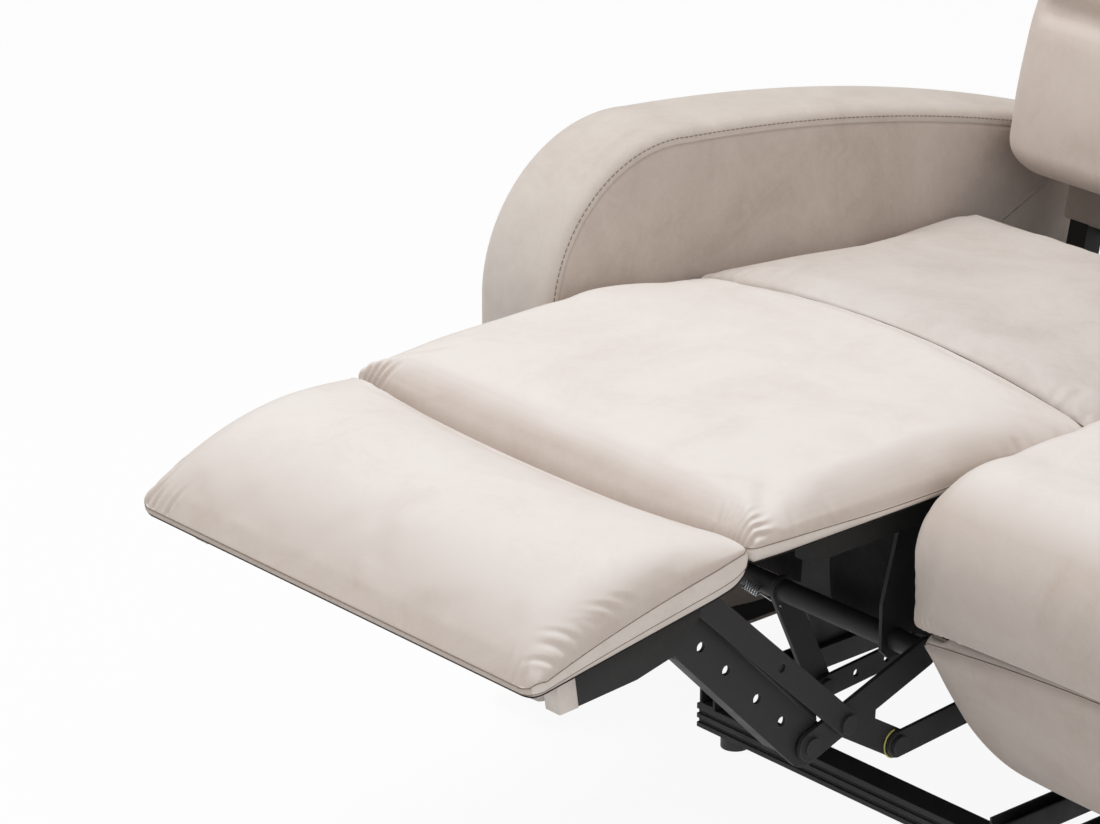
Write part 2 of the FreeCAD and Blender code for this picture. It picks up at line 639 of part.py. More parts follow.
def arm_outline(x, grow):
    """Side view of an arm: upright front, round shoulder, top falling to the back."""
    front, back = -grow, ARM_BACK + grow
    low, peak = ARM_BOTTOM, ARM_PEAK + grow
    points = [Vector(x, front, low), Vector(x, front, SHOULDER_Z),
              Vector(x, SHOULDER[0] - grow * 0.7, SHOULDER[1] + grow * 0.7), Vector(x, PEAK_Y, peak),
              Vector(x, ARM_SLOPE[0], ARM_SLOPE[1] + grow), Vector(x, back, ARM_REAR_Z + grow)]
    edges = [Part.makeLine(points[0], points[1]), Part.Arc(points[1], points[2], points[3]).toShape()]
    edges.append(Part.Arc(points[3], points[4], points[5]).toShape())
    edges.append(Part.makeLine(points[5], Vector(x, back, low)))
    edges.append(Part.makeLine(Vector(x, back, low), points[0]))
    return Part.Wire(edges)


def arms():
    """The left arm's core, cover and black lining."""
    outer, inner = -BAY_WIDTH - ARM_THICK, -BAY_WIDTH
    inset = ARM_CORE_INSET
    core = Part.Face(arm_outline(outer + inset, -inset)).extrude(Vector(ARM_THICK - 2 * inset, 0, 0))
    rows = [(outer, -10), (outer + 14, -2), ((outer + inner) / 2, 0), (inner - 14, -2), (inner, -10)]
    cover = Part.makeLoft([arm_outline(x, grow) for x, grow in rows], True, False).cut(core)
    lining = box(inner, inner + LINING, LINING_START, REAR_RAIL - 2 * LINING_LIFT, ARM_BOTTOM + LINING_LIFT, LINING_TOP)
    return {"arm_core": core, "arm_cover": cover, "arm_lining": lining}


def release_lever():
    """The left lever with its shaft, outside the arm."""
    face = -BAY_WIDTH - ARM_THICK - BEZEL - LEVER_GAP
    tip = (LEVER_AT[0] - LEVER_LENGTH * 0.92, LEVER_AT[1] + LEVER_LENGTH * 0.4)
    lever = bar(LEVER_AT, tip, 13, face - LEVER_THICK, face)
    lever = lever.fuse(rod(LEVER_AT, LEVER_SHAFT_R, face - 1, face + LEVER_GAP + BEZEL - 1))
    return lever.removeSplitter()


def lever_bezels():
    """Plates on the outer arm faces, bored for the lever shafts."""
    face = -BAY_WIDTH - ARM_THICK
    plate = bar((LEVER_AT[0], LEVER_AT[1] - 30), (LEVER_AT[0], LEVER_AT[1] + 30), 26, face - BEZEL, face)
    plate = plate.cut(rod(LEVER_AT, LEVER_SHAFT_R + PIN_FREE, face - BEZEL - 1, face + 1))
    return group(pair(plate))


def base_rails():
    """Front and rear cross rails, grooved along the front."""
    solids = []
    for start, end in ((RAIL_Y, RAIL_END), (REAR_RAIL, BAY_WIDTH)):
        rail = box(-end, end, start, start + RAIL_SECTION, RAIL_FOOT, RAIL_TOP)
        for low in (RAIL_FOOT + 5, RAIL_FOOT + 15):
            rail = rail.cut(box(-end - 1, end + 1, start - 1, start + 3, low, low + 5))
        solids.append(rail)
    return group(solids)


def base_tracks():
    """Channels that the seats slide in, on top of the cross rails."""
    half = TRACK_WIDTH / 2
    solids = []
    for x in (SIDE_TRACK_X, MID_TRACK_X):
        track = box(x - half, x + half, RAIL_Y, REAR_RAIL - 4, RAIL_TOP, RAIL_TOP + TRACK_HIGH)
        track = track.fuse(box(x - half, x + half, REAR_RAIL - 4, REAR_RAIL + 12, RAIL_TOP, RAIL_TOP + TRACK_WALL))
        track = track.cut(box(x - half + TRACK_WALL, x + half - TRACK_WALL, RAIL_Y - 1, REAR_RAIL - 4,
                              RAIL_TOP + TRACK_WALL, RAIL_TOP + TRACK_HIGH + 1))
        solids += pair(track.removeSplitter())
    return group(solids)


def arm_ties():
    """Flat bars from the side tracks to the arms."""
    outer = BAY_WIDTH - LINING
    inner = SIDE_TRACK_X + TRACK_WIDTH / 2
    low = RAIL_TOP + TIE_LIFT
    tie = box(inner, outer, TIE_Y, TIE_Y + TIE_WIDTH, low, low + TIE_THICK)
    tie = tie.fuse(box(outer - TIE_FOOT, outer, TIE_Y, TIE_Y + TIE_WIDTH, low, low + TIE_RISE))
    return group(pair(tie.removeSplitter()))


def back_posts():
    """Upright plates on the rear rail that carry the backs, with their pivot pins."""
    y, z = BACK_PIVOT
    near = STILE_D + STILE + POST_FREE
    outline = [(REAR_RAIL + 13, RAIL_TOP), (REAR_RAIL + RAIL_SECTION, RAIL_TOP), (y + 18, z), (y + 10, z + 16),
               (y - 10, z + 16), (y - 18, z)]
    post = panel(outline, near, near + 6)
    post = post.fuse(rod(BACK_PIVOT, PIN_R + 1, STILE_D + 2, near + 1))
    solids = []
    for shape in pair(post.removeSplitter()):
        shape.translate(Vector(SEAT_X, 0, 0))
        solids += pair(shape)
    return group(solids)


def glide_feet():
    """Round glides under the rails and the arms."""
    solids = []
    arm_x = BAY_WIDTH + ARM_THICK / 2
    places = [(arm_x, ARM_GLIDE_INSET, ARM_BOTTOM), (arm_x, ARM_BACK - ARM_GLIDE_INSET, ARM_BOTTOM)]
    for x in (RAIL_END - GLIDE_INSET, INNER_GLIDE_X):
        for y in (RAIL_Y, REAR_RAIL):
            places.append((x, y + RAIL_SECTION / 2, RAIL_FOOT))
    for x, y, top in places:
        solids += pair(Part.makeCylinder(GLIDE_R, top, Vector(x, y, 0)))
    return group(solids)


def all_pieces():
    """Every piece by its name, still counted from the front of the arms."""
    pieces = {"base_rails": base_rails(), "base_tracks": base_tracks(), "arm_ties": arm_ties(),
              "back_posts": back_posts(), "glide_feet": glide_feet(), "lever_bezels": lever_bezels()}
    rear = ARM_BACK - REAR_BOARD_INSET
    pieces["rear_board"] = box(-BAY_WIDTH, BAY_WIDTH, rear - REAR_BOARD_THICK, rear, REAR_BOARD_LOW_Z, REAR_BOARD_TOP_Z)
    left = dict(arms())
    left["release_lever"] = release_lever()
    for name, shape in left.items():
        pieces["left_" + name] = shape
        pieces["right_" + name] = shape.mirror(Vector(0, 0, 0), X_AXIS)
    seat = seat_pieces()
    for body, names in SEAT_BODIES.items():
        for name in names:
            opened = seat[name].copy()
            opened.translate(Vector(SEAT_X, 0, 0))
            pieces["left_" + name] = opened
            shut = shut_pose(opened, body)
            pieces["right_" + name] = shut.mirror(Vector(0, 0, 0), X_AXIS)
    return pieces


def middle_y(pieces):
    """Half-way between the foremost and the rearmost point."""
    bounds = FreeCAD.BoundBox()
    for shape in pieces.values():
        bounds.add(shape.optimalBoundingBox(False, False))
    return (bounds.YMin + bounds.YMax) / 2


def main():
    """Write one file for each piece, with the sofa centred over the floor."""
    pieces = all_pieces()
    shift = -middle_y(pieces)
    os.makedirs("parts", exist_ok=True)
    for name, shape in pieces.items():
        shape.translate(Vector(0, shift, 0))
        shape.exportStep("parts/" + name + ".step")


if __name__ == "__main__":
    main()
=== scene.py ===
"""Looks of a two-seat velvet reclining sofa, one seat open and one shut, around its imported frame.

Side views are written in millimetres as (y, z), with y counted back from the front of the arms.
The left seat is modelled open. The right seat is the same seat mirrored and folded shut.
"""
import json
import logging
import math
from dataclasses import dataclass
from enum import Enum
from typing import Callable, Optional, Sequence

import bpy
import numpy as np
from mathutils import Matrix, Vector

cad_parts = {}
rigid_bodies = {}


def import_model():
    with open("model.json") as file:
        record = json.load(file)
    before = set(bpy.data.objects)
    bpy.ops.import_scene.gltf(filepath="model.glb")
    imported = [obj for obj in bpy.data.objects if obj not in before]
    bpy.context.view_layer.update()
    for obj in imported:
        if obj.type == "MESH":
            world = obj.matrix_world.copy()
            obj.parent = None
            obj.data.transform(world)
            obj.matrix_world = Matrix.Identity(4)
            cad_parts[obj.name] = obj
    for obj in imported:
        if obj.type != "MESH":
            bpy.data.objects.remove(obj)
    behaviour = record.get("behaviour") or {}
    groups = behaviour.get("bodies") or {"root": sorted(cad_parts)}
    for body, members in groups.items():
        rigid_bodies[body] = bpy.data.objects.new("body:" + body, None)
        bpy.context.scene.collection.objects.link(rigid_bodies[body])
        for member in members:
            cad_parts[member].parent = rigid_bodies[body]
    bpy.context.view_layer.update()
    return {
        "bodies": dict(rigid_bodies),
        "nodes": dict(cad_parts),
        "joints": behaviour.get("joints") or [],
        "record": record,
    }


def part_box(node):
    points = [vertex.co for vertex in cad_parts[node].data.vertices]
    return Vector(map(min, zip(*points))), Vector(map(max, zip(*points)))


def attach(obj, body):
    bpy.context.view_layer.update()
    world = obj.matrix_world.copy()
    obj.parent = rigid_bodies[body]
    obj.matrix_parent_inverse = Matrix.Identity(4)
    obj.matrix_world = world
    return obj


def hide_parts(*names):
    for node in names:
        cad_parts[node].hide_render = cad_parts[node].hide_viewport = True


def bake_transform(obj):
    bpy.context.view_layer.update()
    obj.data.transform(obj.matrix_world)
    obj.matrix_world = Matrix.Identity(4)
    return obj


LOG = logging.getLogger("sofa")
MM = 0.001
TINY = 1e-9
Material = bpy.types.Material
Tree = bpy.types.NodeTree
Node = bpy.types.Node
Socket = bpy.types.NodeSocket
Thing = bpy.types.Object
Array = np.ndarray
Point2 = tuple[float, float]
Point3 = tuple[float, float, float]
Face = tuple[int, ...]
Height = Callable[[Array, Array], Array]
Carry = Callable[[Array], Array]


class Side(Enum):
    """The two halves of the sofa, seen from the front."""

    LEFT = "left"
    RIGHT = "right"

    @property
    def sign(self) -> int:
        """-1 on the left half, 1 on the right half."""
        return -1 if self is Side.LEFT else 1


class Panel(Enum):
    """The six sewn panels of a box-shaped pad."""

    TOP = 0
    BOTTOM = 1
    LEFT = 2
    RIGHT = 3
    FRONT = 4
    BACK = 5


def to_linear(code: str) -> tuple[float, float, float, float]:
    """Turn an sRGB hex code into a linear colour.

    Args:
        code: six hex digits.

    Returns:
        Red, green, blue and alpha for a node socket.
    """
    parts = [int(code[i:i + 2], 16) / 255 for i in (0, 2, 4)]
    red, green, blue = [c / 12.92 if c <= 0.04045 else ((c + 0.055) / 1.055) ** 2.4 for c in parts]
    return red, green, blue, 1.0


def per_mm(size: float) -> float:
    """Texture scale whose features are about this many millimetres wide."""
    return 1 / (size * MM)


def wire(tree: Tree, node: Node, sockets: dict) -> None:
    """Set the inputs of a node.

    Args:
        tree: the node tree of a material or world.
        node: the node.
        sockets: output sockets or plain values by the name or number of the input they go to.
    """
    for name, value in sockets.items():
        if isinstance(value, Socket):
            tree.links.new(value, node.inputs[name])
        else:
            node.inputs[name].default_value = value


def add_node(tree: Tree, kind: str, sockets: Optional[dict] = None,
             stops: Sequence[tuple[float, str]] = (), **settings) -> Node:
    """Add one node with its settings and links.

    Args:
        tree: the node tree of a material or world.
        kind: the node's type name, without the ShaderNode before it.
        sockets: output sockets or plain values by the name or number of the input they go to.
        stops: places and hex codes of a colour ramp.
        settings: the node's own properties.

    Returns:
        The new node.
    """
    node = tree.nodes.new(f"ShaderNode{kind}")
    for name, value in settings.items():
        setattr(node, name, value)
    wire(tree, node, sockets or {})
    if stops:
        elements = node.color_ramp.elements
        while len(elements) < len(stops):
            elements.new(0.5)
        for element, (place, code) in zip(elements, stops):
            element.position = place
            element.color = to_linear(code)
    return node


def new_material(name: str) -> tuple[Material, Tree, Node, Socket]:
    """Start a material.

    Args:
        name: the material's name.

    Returns:
        The material, its node tree, the shader on its output and the place on the object's own axes.
    """
    material = bpy.data.materials.new(name)
    material.use_nodes = True
    tree = material.node_tree
    place = add_node(tree, "TexCoord").outputs["Object"]
    return material, tree, tree.nodes["Principled BSDF"], place


@dataclass(frozen=True)
class Velvet:
    """Cut-pile polyester velvet: a soft bright edge, and blotches where the pile leans another way."""

    name: str
    pale: str
    mid: str
    deep: str
    blotch_mm: float = 120.0
    streak_mm: float = 26.0
    # The pile is about 0.4 mm. It is drawn at 1.7 mm, so that its grain shows in the render.
    pile_mm: float = 1.7
    # Painted shade: the colour that the surface darkens towards where it tilts away from level, unevenly by
    # the grain.
    slope_shade: Optional[str] = None

    def build(self) -> Material:
        """Make the material.

        Returns:
            The velvet with nap blotches, brushed streaks and a pile bump.
        """
        material, tree, shader, place = new_material(self.name)
        blotch = add_node(tree, "TexNoise", {"Vector": place, "Scale": per_mm(self.blotch_mm),
                                             "Detail": 4.0, "Roughness": 0.62, "Distortion": 0.9})
        streak = add_node(tree, "TexNoise", {"Vector": place, "Scale": per_mm(self.streak_mm),
                                             "Detail": 5.0, "Roughness": 0.7, "Distortion": 1.6})
        pile = add_node(tree, "TexNoise", {"Vector": place, "Scale": per_mm(self.pile_mm), "Detail": 2.0})
        nap = add_node(tree, "Mix", {"Factor": 0.32, 2: blotch.outputs["Fac"], 3: streak.outputs["Fac"]})
        grain = add_node(tree, "Mix", {"Factor": 0.16, 2: nap.outputs[0], 3: pile.outputs["Fac"]})
        shades = ((0.34, self.deep), (0.49, self.mid), (0.64, self.pale))
        colour = add_node(tree, "ValToRGB", {"Fac": grain.outputs[0]}, shades).outputs["Color"]
        # Painted shade on slopes, where a colour for it is given.
        if self.slope_shade:
            colour = self.paint_slope_shade(tree, colour, grain.outputs[0])
        bump = add_node(tree, "Bump", {"Strength": 0.22, "Distance": 0.6 * MM,
                                       "Height": pile.outputs["Fac"]})
        wire(tree, shader, {"Base Color": colour, "Normal": bump.outputs["Normal"], "Roughness": 0.88,
                            "Specular IOR Level": 0.2, "Sheen Weight": 0.35, "Sheen Roughness": 0.42,
                            "Sheen Tint": to_linear("FBF5EE")})
        return material

    def paint_slope_shade(self, tree: Tree, colour: Socket, grain: Socket) -> Socket:
        """Paint shade on slopes: deepen the colour where the surface tilts away from level, as if turned from
        the light.

        Args:
            tree: the material's node tree.
            colour: the colour on level surfaces.
            grain: the pattern that makes the change uneven.

        Returns:
            The socket with the new colour.
        """
        facing = add_node(tree, "NewGeometry").outputs["Normal"]
        upward = add_node(tree, "SeparateXYZ", {0: facing}).outputs["Z"]
        steepness = add_node(tree, "MapRange", {"Value": upward, "From Min": 0.985, "From Max": 0.6,
                                           "To Max": 0.75})
        uneven = add_node(tree, "Math", {0: steepness.outputs[0], 1: grain}, operation="MULTIPLY")
        share = add_node(tree, "Math", {0: uneven.outputs[0], 1: 2.0}, operation="MULTIPLY",
                         use_clamp=True)
        mixed = add_node(tree, "Mix", {"Factor": share.outputs[0], 6: colour, 7: to_linear(self.slope_shade)},
                         data_type="RGBA")
        return mixed.outputs[2]


@dataclass(frozen=True)
class PaintedSteel:
    """Pressed steel with a satin black dip coat: soft highlights, rubbed lighter along the edges."""

    name: str
    paint: str
    dusty: str
    worn: str
    edge_mm: float = 1.3
    peel_mm: float = 5.0
    dust_mm: float = 38.0
    roughness: float = 0.55

    def build(self) -> Material:
        """Make the material.

        Returns:
            The coated steel with rounded, slightly rubbed edges.
        """
        material, tree, shader, place = new_material(self.name)
        peel = add_node(tree, "TexNoise", {"Vector": place, "Scale": per_mm(self.peel_mm), "Detail": 3.0})
        dust = add_node(tree, "TexNoise", {"Vector": place, "Scale": per_mm(self.dust_mm), "Detail": 5.0,
                                           "Roughness": 0.65}).outputs["Fac"]
        rounded = add_node(tree, "Bevel", {"Radius": self.edge_mm * MM}, samples=4).outputs[0]
        flat = add_node(tree, "NewGeometry").outputs["Normal"]
        turn = add_node(tree, "VectorMath", {0: rounded, 1: flat}, operation="DOT_PRODUCT")
        rub = add_node(tree, "MapRange", {"Value": turn.outputs["Value"], "From Min": 0.99,
                                          "From Max": 0.8, "To Max": 0.55})
        tone = add_node(tree, "ValToRGB", {"Fac": dust}, ((0.35, self.paint), (0.75, self.dusty)))
        edge = add_node(tree, "Mix", {"Factor": rub.outputs[0], 6: tone.outputs["Color"],
                                      7: to_linear(self.worn)}, data_type="RGBA")
        bump = add_node(tree, "Bump", {"Strength": 0.05, "Distance": 0.4 * MM,
                                       "Height": peel.outputs["Fac"], "Normal": rounded})
        rough = add_node(tree, "MapRange", {"Value": dust, "From Min": 0.3, "From Max": 0.7,
                                            "To Min": self.roughness - 0.06,
                                            "To Max": self.roughness + 0.12})
        wire(tree, shader, {"Base Color": edge.outputs[2], "Normal": bump.outputs["Normal"],
                            "Roughness": rough.outputs[0], "Specular IOR Level": 0.32})
        return material


@dataclass(frozen=True)
class BlackCloth:
    """Spunbonded or woven black cloth: matte, with a faint grid of weld points or threads."""

    name: str
    fibre: str
    bond: str
    weld_mm: float = 3.2
    cloud_mm: float = 45.0

    def build(self) -> Material:
        """Make the material.

        Returns:
            The matte cloth with its grid.
        """
        material, tree, shader, place = new_material(self.name)
        weld = add_node(tree, "TexVoronoi", {"Vector": place, "Scale": per_mm(self.weld_mm),
                                             "Randomness": 0.25}).outputs["Distance"]
        cloud = add_node(tree, "TexNoise", {"Vector": place, "Scale": per_mm(self.cloud_mm),
                                            "Detail": 6.0})
        tone = add_node(tree, "Mix", {"Factor": 0.4, 2: cloud.outputs["Fac"], 3: weld})
        colour = add_node(tree, "ValToRGB", {"Fac": tone.outputs[0]},
                          ((0.25, self.bond), (0.7, self.fibre)))
        bump = add_node(tree, "Bump", {"Strength": 0.25, "Distance": 0.5 * MM, "Height": weld})
        wire(tree, shader, {"Base Color": colour.outputs["Color"], "Normal": bump.outputs["Normal"],
                            "Roughness": 0.93, "Specular IOR Level": 0.15})
        return material


@dataclass(frozen=True)
class Plywood:
    """Rotary-cut plywood, stained: long drawn-out grain that shows faintly through the colour."""

    name: str
    light: str
    dark: str
    grain_mm: float = 9.0

    def build(self) -> Material:
        """Make the material.

        Returns:
            Plywood with drawn-out grain.
        """
        material, tree, shader, place = new_material(self.name)
        drawn = add_node(tree, "Mapping", {"Vector": place, "Scale": (0.12, 1.0, 1.0)})
        grain = add_node(tree, "TexNoise", {"Vector": drawn.outputs[0], "Scale": per_mm(self.grain_mm),
                                            "Detail": 8.0, "Roughness": 0.6,
                                            "Distortion": 0.5}).outputs["Fac"]
        colour = add_node(tree, "ValToRGB", {"Fac": grain}, ((0.3, self.dark), (0.7, self.light)))
        bump = add_node(tree, "Bump", {"Strength": 0.15, "Distance": 0.4 * MM, "Height": grain})
        wire(tree, shader, {"Base Color": colour.outputs["Color"], "Normal": bump.outputs["Normal"],
                            "Roughness": 0.7})
        return material


@dataclass(frozen=True)
class Moulded:
    """Injection-moulded nylon or ABS: an even sheen over a fine spark-eroded texture, with soft edges."""

    name: str
    colour: str
    scuffed: str
    roughness: float
    grit_mm: float = 0.9
    cloud_mm: float = 30.0
    edge_mm: float = 1.2

    def build(self) -> Material:
        """Make the material.

        Returns:
            Moulded plastic with an even texture and soft edges.
        """
        material, tree, shader, place = new_material(self.name)
        grit = add_node(tree, "TexNoise", {"Vector": place, "Scale": per_mm(self.grit_mm), "Detail": 2.0})
        cloud = add_node(tree, "TexNoise", {"Vector": place, "Scale": per_mm(self.cloud_mm),
                                            "Detail": 3.0})
        colour = add_node(tree, "ValToRGB", {"Fac": cloud.outputs["Fac"]},
                          ((0.3, self.colour), (0.8, self.scuffed)))
        soft = add_node(tree, "Bevel", {"Radius": self.edge_mm * MM}, samples=4)
        bump = add_node(tree, "Bump", {"Strength": 0.12, "Distance": 0.2 * MM,
                                       "Height": grit.outputs["Fac"], "Normal": soft.outputs[0]})
        wire(tree, shader, {"Base Color": colour.outputs["Color"], "Normal": bump.outputs["Normal"],
                            "Roughness": self.roughness})
        return material


@dataclass(frozen=True)
class Plain:
    """Spun thread, grease or plated wire: a small surface that shows one tone with a light mottle."""

    name: str
    light: str
    dark: str
    roughness: float
    metallic: float = 0.0
    mottle_mm: float = 2.5

    def build(self) -> Material:
        """Make the material.

        Returns:
            The material with its mottle.
        """
        material, tree, shader, place = new_material(self.name)
        mottle = add_node(tree, "TexNoise", {"Vector": place, "Scale": per_mm(self.mottle_mm),
                                             "Detail": 3.0})
        colour = add_node(tree, "ValToRGB", {"Fac": mottle.outputs["Fac"]},
                          ((0.3, self.dark), (0.7, self.light)))
        wire(tree, shader, {"Base Color": colour.outputs["Color"], "Roughness": self.roughness,
                            "Metallic": self.metallic})
        return material


class Finishes:
    """All finishes of the sofa, each made once."""

    def __init__(self) -> None:
        """Build every material."""
        # The top velvet darkens where it tilts away from level: painted shade on its slopes.
        self.velvet = Velvet("cut_pile_velvet_with_the_nap", "EEE8E4", "EBE4DF", "E5DCD6",
                             slope_shade="CBBCB1").build()
        self.boxing = Velvet("cut_pile_velvet_side_strip", "EAE1D9", "E4DAD2", "DBD0C7",
                             blotch_mm=70.0).build()
        # Painted shade: a darker copy of the velvet for the side panels and the footrest's front strip, which
        # face away from the light.
        self.against = Velvet("cut_pile_velvet_against_the_nap", "D6CAC1", "CDC0B7", "C0B3A8",
                              streak_mm=18.0).build()
        self.sitting = Velvet("cut_pile_velvet_sitting_side", "DFD8D3", "D9D1CB", "CFC6BF").build()
        self.band = Velvet("cut_pile_velvet_arm_band", "DCD3CB", "D5CBC3", "CCC1B8").build()
        self.steel = PaintedSteel("satin_black_coated_steel", "313031", "373637", "636263").build()
        self.lining = BlackCloth("spunbonded_black_lining", "3A3839", "272526").build()
        self.webbing = BlackCloth("woven_elastic_webbing", "34312E", "1A1918", weld_mm=2.2).build()
        self.ebony = Plywood("black_stained_plywood", "1B1A19", "100F0F").build()
        self.nylon = Moulded("moulded_black_nylon", "161617", "2B2B2D", 0.55).build()
        self.lever = Moulded("moulded_satin_abs", "1C1C1E", "2B2B2D", 0.34).build()
        # The thread is dark: along the pads' seams and hem it is painted shade of their grooves, and on the
        # arms it is the stitching.
        self.thread = Plain("polyester_thread", "97877A", "7C6E63", 0.7).build()
        self.grease = Plain("yellow_joint_grease", "D8D27A", "B9B052", 0.3, mottle_mm=6.0).build()
        self.zinc = Plain("bright_zinc_wire", "C9CBCE", "9DA0A4", 0.28, metallic=1.0).build()


def smooth(values: Array) -> Array:
    """Smoothstep of values that are first held between 0 and 1."""
    t = np.clip(values, 0.0, 1.0)
    return t * t * (3 - 2 * t)


def domed(share: Array) -> Array:
    """Height of a quarter round: 1 at shares up to 0, falling to 0 at a share of 1."""
    return np.sqrt(1 - np.clip(share, 0, 1) ** 2)


def eased(edge: Array, other: Array, corner: float | Array) -> Array:
    """Draw the points near an edge in where it meets another edge in a round corner.

    Args:
        edge: distances from the edge, in millimetres.
        other: distances from the edge that it meets.
        corner: how far the rounding reaches.

    Returns:
        The new distances from the first edge.
    """
    near, beside = (np.clip(1 - distance / corner, 0, 1) for distance in (edge, other))
    return np.where(near * beside > 0, corner * (1 - near * np.sqrt(1 - beside * beside / 2)), edge)


def spread(unit: Array, even: float) -> Array:
    """Even steps from -1 to 1, drawn closer together towards both ends."""
    return even * unit + (1 - even) * np.sin(unit * math.pi / 2)


def on_rim(unit: Array) -> Array:
    """Which points of a unit box lie on its four upright sides."""
    return (np.abs(unit[:, 0]) >= 1) | (np.abs(unit[:, 1]) >= 1)


def turned(points: Array, centre: Point2, degrees: float | Array) -> Array:
    """Turn points about an X axis through a side-view point.

    Args:
        points: an (n, 3) array in millimetres.
        centre: the axis as (y, z).
        degrees: one angle, or one for each point.

    Returns:
        The turned points.
    """
    angle = np.radians(degrees)
    y, z = points[:, 1] - centre[0], points[:, 2] - centre[1]
    turned_y = centre[0] + y * np.cos(angle) - z * np.sin(angle)
    turned_z = centre[1] + y * np.sin(angle) + z * np.cos(angle)
    return np.column_stack((points[:, 0], turned_y, turned_z))


def ring_faces(rings: int, count: int, closed: bool = False, capped: bool = False) -> list[Face]:
    """Faces over rings of points that follow each other.

    Args:
        rings: how many rings.
        count: how many points each ring has.
        closed: whether the last ring joins the first.
        capped: whether the first and last rings are filled.

    Returns:
        Quads ring by ring, then the caps.
    """
    faces = []
    for ring in range(rings if closed else rings - 1):
        near, far = ring * count, (ring + 1) % rings * count
        for i in range(count):
            after = (i + 1) % count
            faces.append((near + i, near + after, far + after, far + i))
    if capped:
        faces.append(tuple(reversed(range(count))))
        faces.append(tuple(range((rings - 1) * count, rings * count)))
    return faces


@dataclass
class Datum:
    """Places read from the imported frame, in millimetres from the front of the arms, and the two tilts."""

    shift: float
    bay: float
    leg_hinge: Point2
    foot_hinge: Point2
    back_pivot: Point2
    travel: float
    leg_turn: float
    foot_turn: float
    back_tilt: float = 12.0
    foot_tilt: float = 8.3

    @classmethod
    def read(cls, frame: dict) -> "Datum":
        """Read the datum from the frame.


        Returns:
            The sofa's hinge lines, travels and the shift between the two origins.
        """
        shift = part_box("left_arm_cover")[0].y / MM
        joints = {joint["name"]: joint for joint in frame["joints"]}

        def axis(name: str) -> Point2:
            """Side-view place of a hinge."""
            place = joints[name]["pos_m"]
            return place[1] / MM - shift, place[2] / MM

        return cls(shift=shift, bay=-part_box("left_arm_cover")[1].x / MM, leg_hinge=axis("left_leg_fold"),
                   foot_hinge=axis("left_footrest_fold"), back_pivot=axis("left_back_recline"),
                   travel=joints["left_seat_slide"]["range_m"][1] / MM,
                   leg_turn=joints["left_leg_fold"]["range_deg"][1],
                   foot_turn=joints["left_footrest_fold"]["range_deg"][1])

    @property
    def seat_x(self) -> float:
        """Middle of the left seat."""
        return -self.bay / 2

    def to_row(self, points: Array) -> Array:
        """The same points in the frame's metres."""
        return (np.asarray(points, float) + (0.0, self.shift, 0.0)) * MM

    def row_point(self, x: float, y: float, z: float) -> Point3:
        """One point in the frame's metres."""
        return tuple(float(v) for v in self.to_row(np.array([[x, y, z]]))[0])

    def shut_carriage(self, points: Array) -> Array:
        """Points on the seat carriage, carried to the shut pose."""
        return points + (0.0, self.travel, 0.0)

    def shut_leg(self, points: Array) -> Array:
        """Points on the leg board, carried to the shut pose."""
        return self.shut_carriage(turned(points, self.leg_hinge, self.leg_turn))

    def shut_footrest(self, points: Array) -> Array:
        """Points on the footrest, carried to the shut pose."""
        return self.shut_leg(turned(points, self.foot_hinge, self.foot_turn))


@dataclass
class Piece:
    """A mesh in the making: points in millimetres, faces and their finishes, the first one by default."""

    name: str
    points: Array
    faces: list[Face]
    finishes: Sequence[Material]
    slots: Sequence[int] = ()
    subdivide: int = 1

    def both(self, shut: Optional[Carry] = None) -> list[tuple[Side, "Piece"]]:
        """Pair the piece with its mirror image on the right half of the sofa.

        Args:
            shut: carries mirrored points from the open to the shut pose, where the piece moves.

        Returns:
            Each side with its piece, the left one first.
        """
        points = self.points * (-1.0, 1.0, 1.0)
        faces = [tuple(reversed(f)) for f in self.faces]
        other = Piece(self.name.replace("left", "right"), shut(points) if shut else points, faces,
                      self.finishes, self.slots, self.subdivide)
        return [(Side.LEFT, self), (Side.RIGHT, other)]

    def normals(self) -> Array:
        """Average the faces' normals at their points.

        Returns:
            A unit normal for each point.
        """
        total = np.zeros_like(self.points)
        quads = np.array([f if len(f) == 4 else (*f, f[-1]) for f in self.faces])
        corners = self.points[quads]
        face = np.cross(corners[:, 2] - corners[:, 0], corners[:, 3] - corners[:, 1])
        for column in range(4):
            np.add.at(total, quads[:, column], face)
        return total / np.maximum(np.linalg.norm(total, axis=1, keepdims=True), TINY)

    def make(self, datum: Datum) -> Thing:
        """Make the Blender object.

        Args:
            datum: the frame's places.

        Returns:
            A smooth object with its subdivision applied, in the frame's metres.
        """
        mesh = bpy.data.meshes.new(self.name)
        mesh.from_pydata([tuple(p) for p in datum.to_row(self.points)], [], self.faces)
        for finish in self.finishes:
            mesh.materials.append(finish)
        if len(self.slots):
            mesh.polygons.foreach_set("material_index", np.asarray(self.slots, np.int32))
        mesh.polygons.foreach_set("use_smooth", np.ones(len(self.faces), bool))
        mesh.update()
        made = bpy.data.objects.new(self.name, mesh)
        bpy.context.scene.collection.objects.link(made)
        if self.subdivide:
            modifier = made.modifiers.new("soft", "SUBSURF")
            modifier.levels = modifier.render_levels = self.subdivide
            apply_modifiers(made)
        return made

    def dress(self, datum: Datum, slot: str) -> Thing:
        """Make the object and log the slot of its finish.

        Args:
            datum: the frame's places.
            slot: the slot's name.

        Returns:
            The object.
        """
        made = self.make(datum)
        LOG.info("%s: %d points, %s", self.name, len(made.data.vertices), slot)
        return made


def apply_modifiers(item: Thing) -> None:
    """Bake an object's modifiers into its mesh.

    Args:
        item: the object.
    """
    graph = bpy.context.evaluated_depsgraph_get()
    baked = bpy.data.meshes.new_from_object(item.evaluated_get(graph))
    old = item.data
    item.modifiers.clear()
    item.data = baked
    bpy.data.meshes.remove(old)


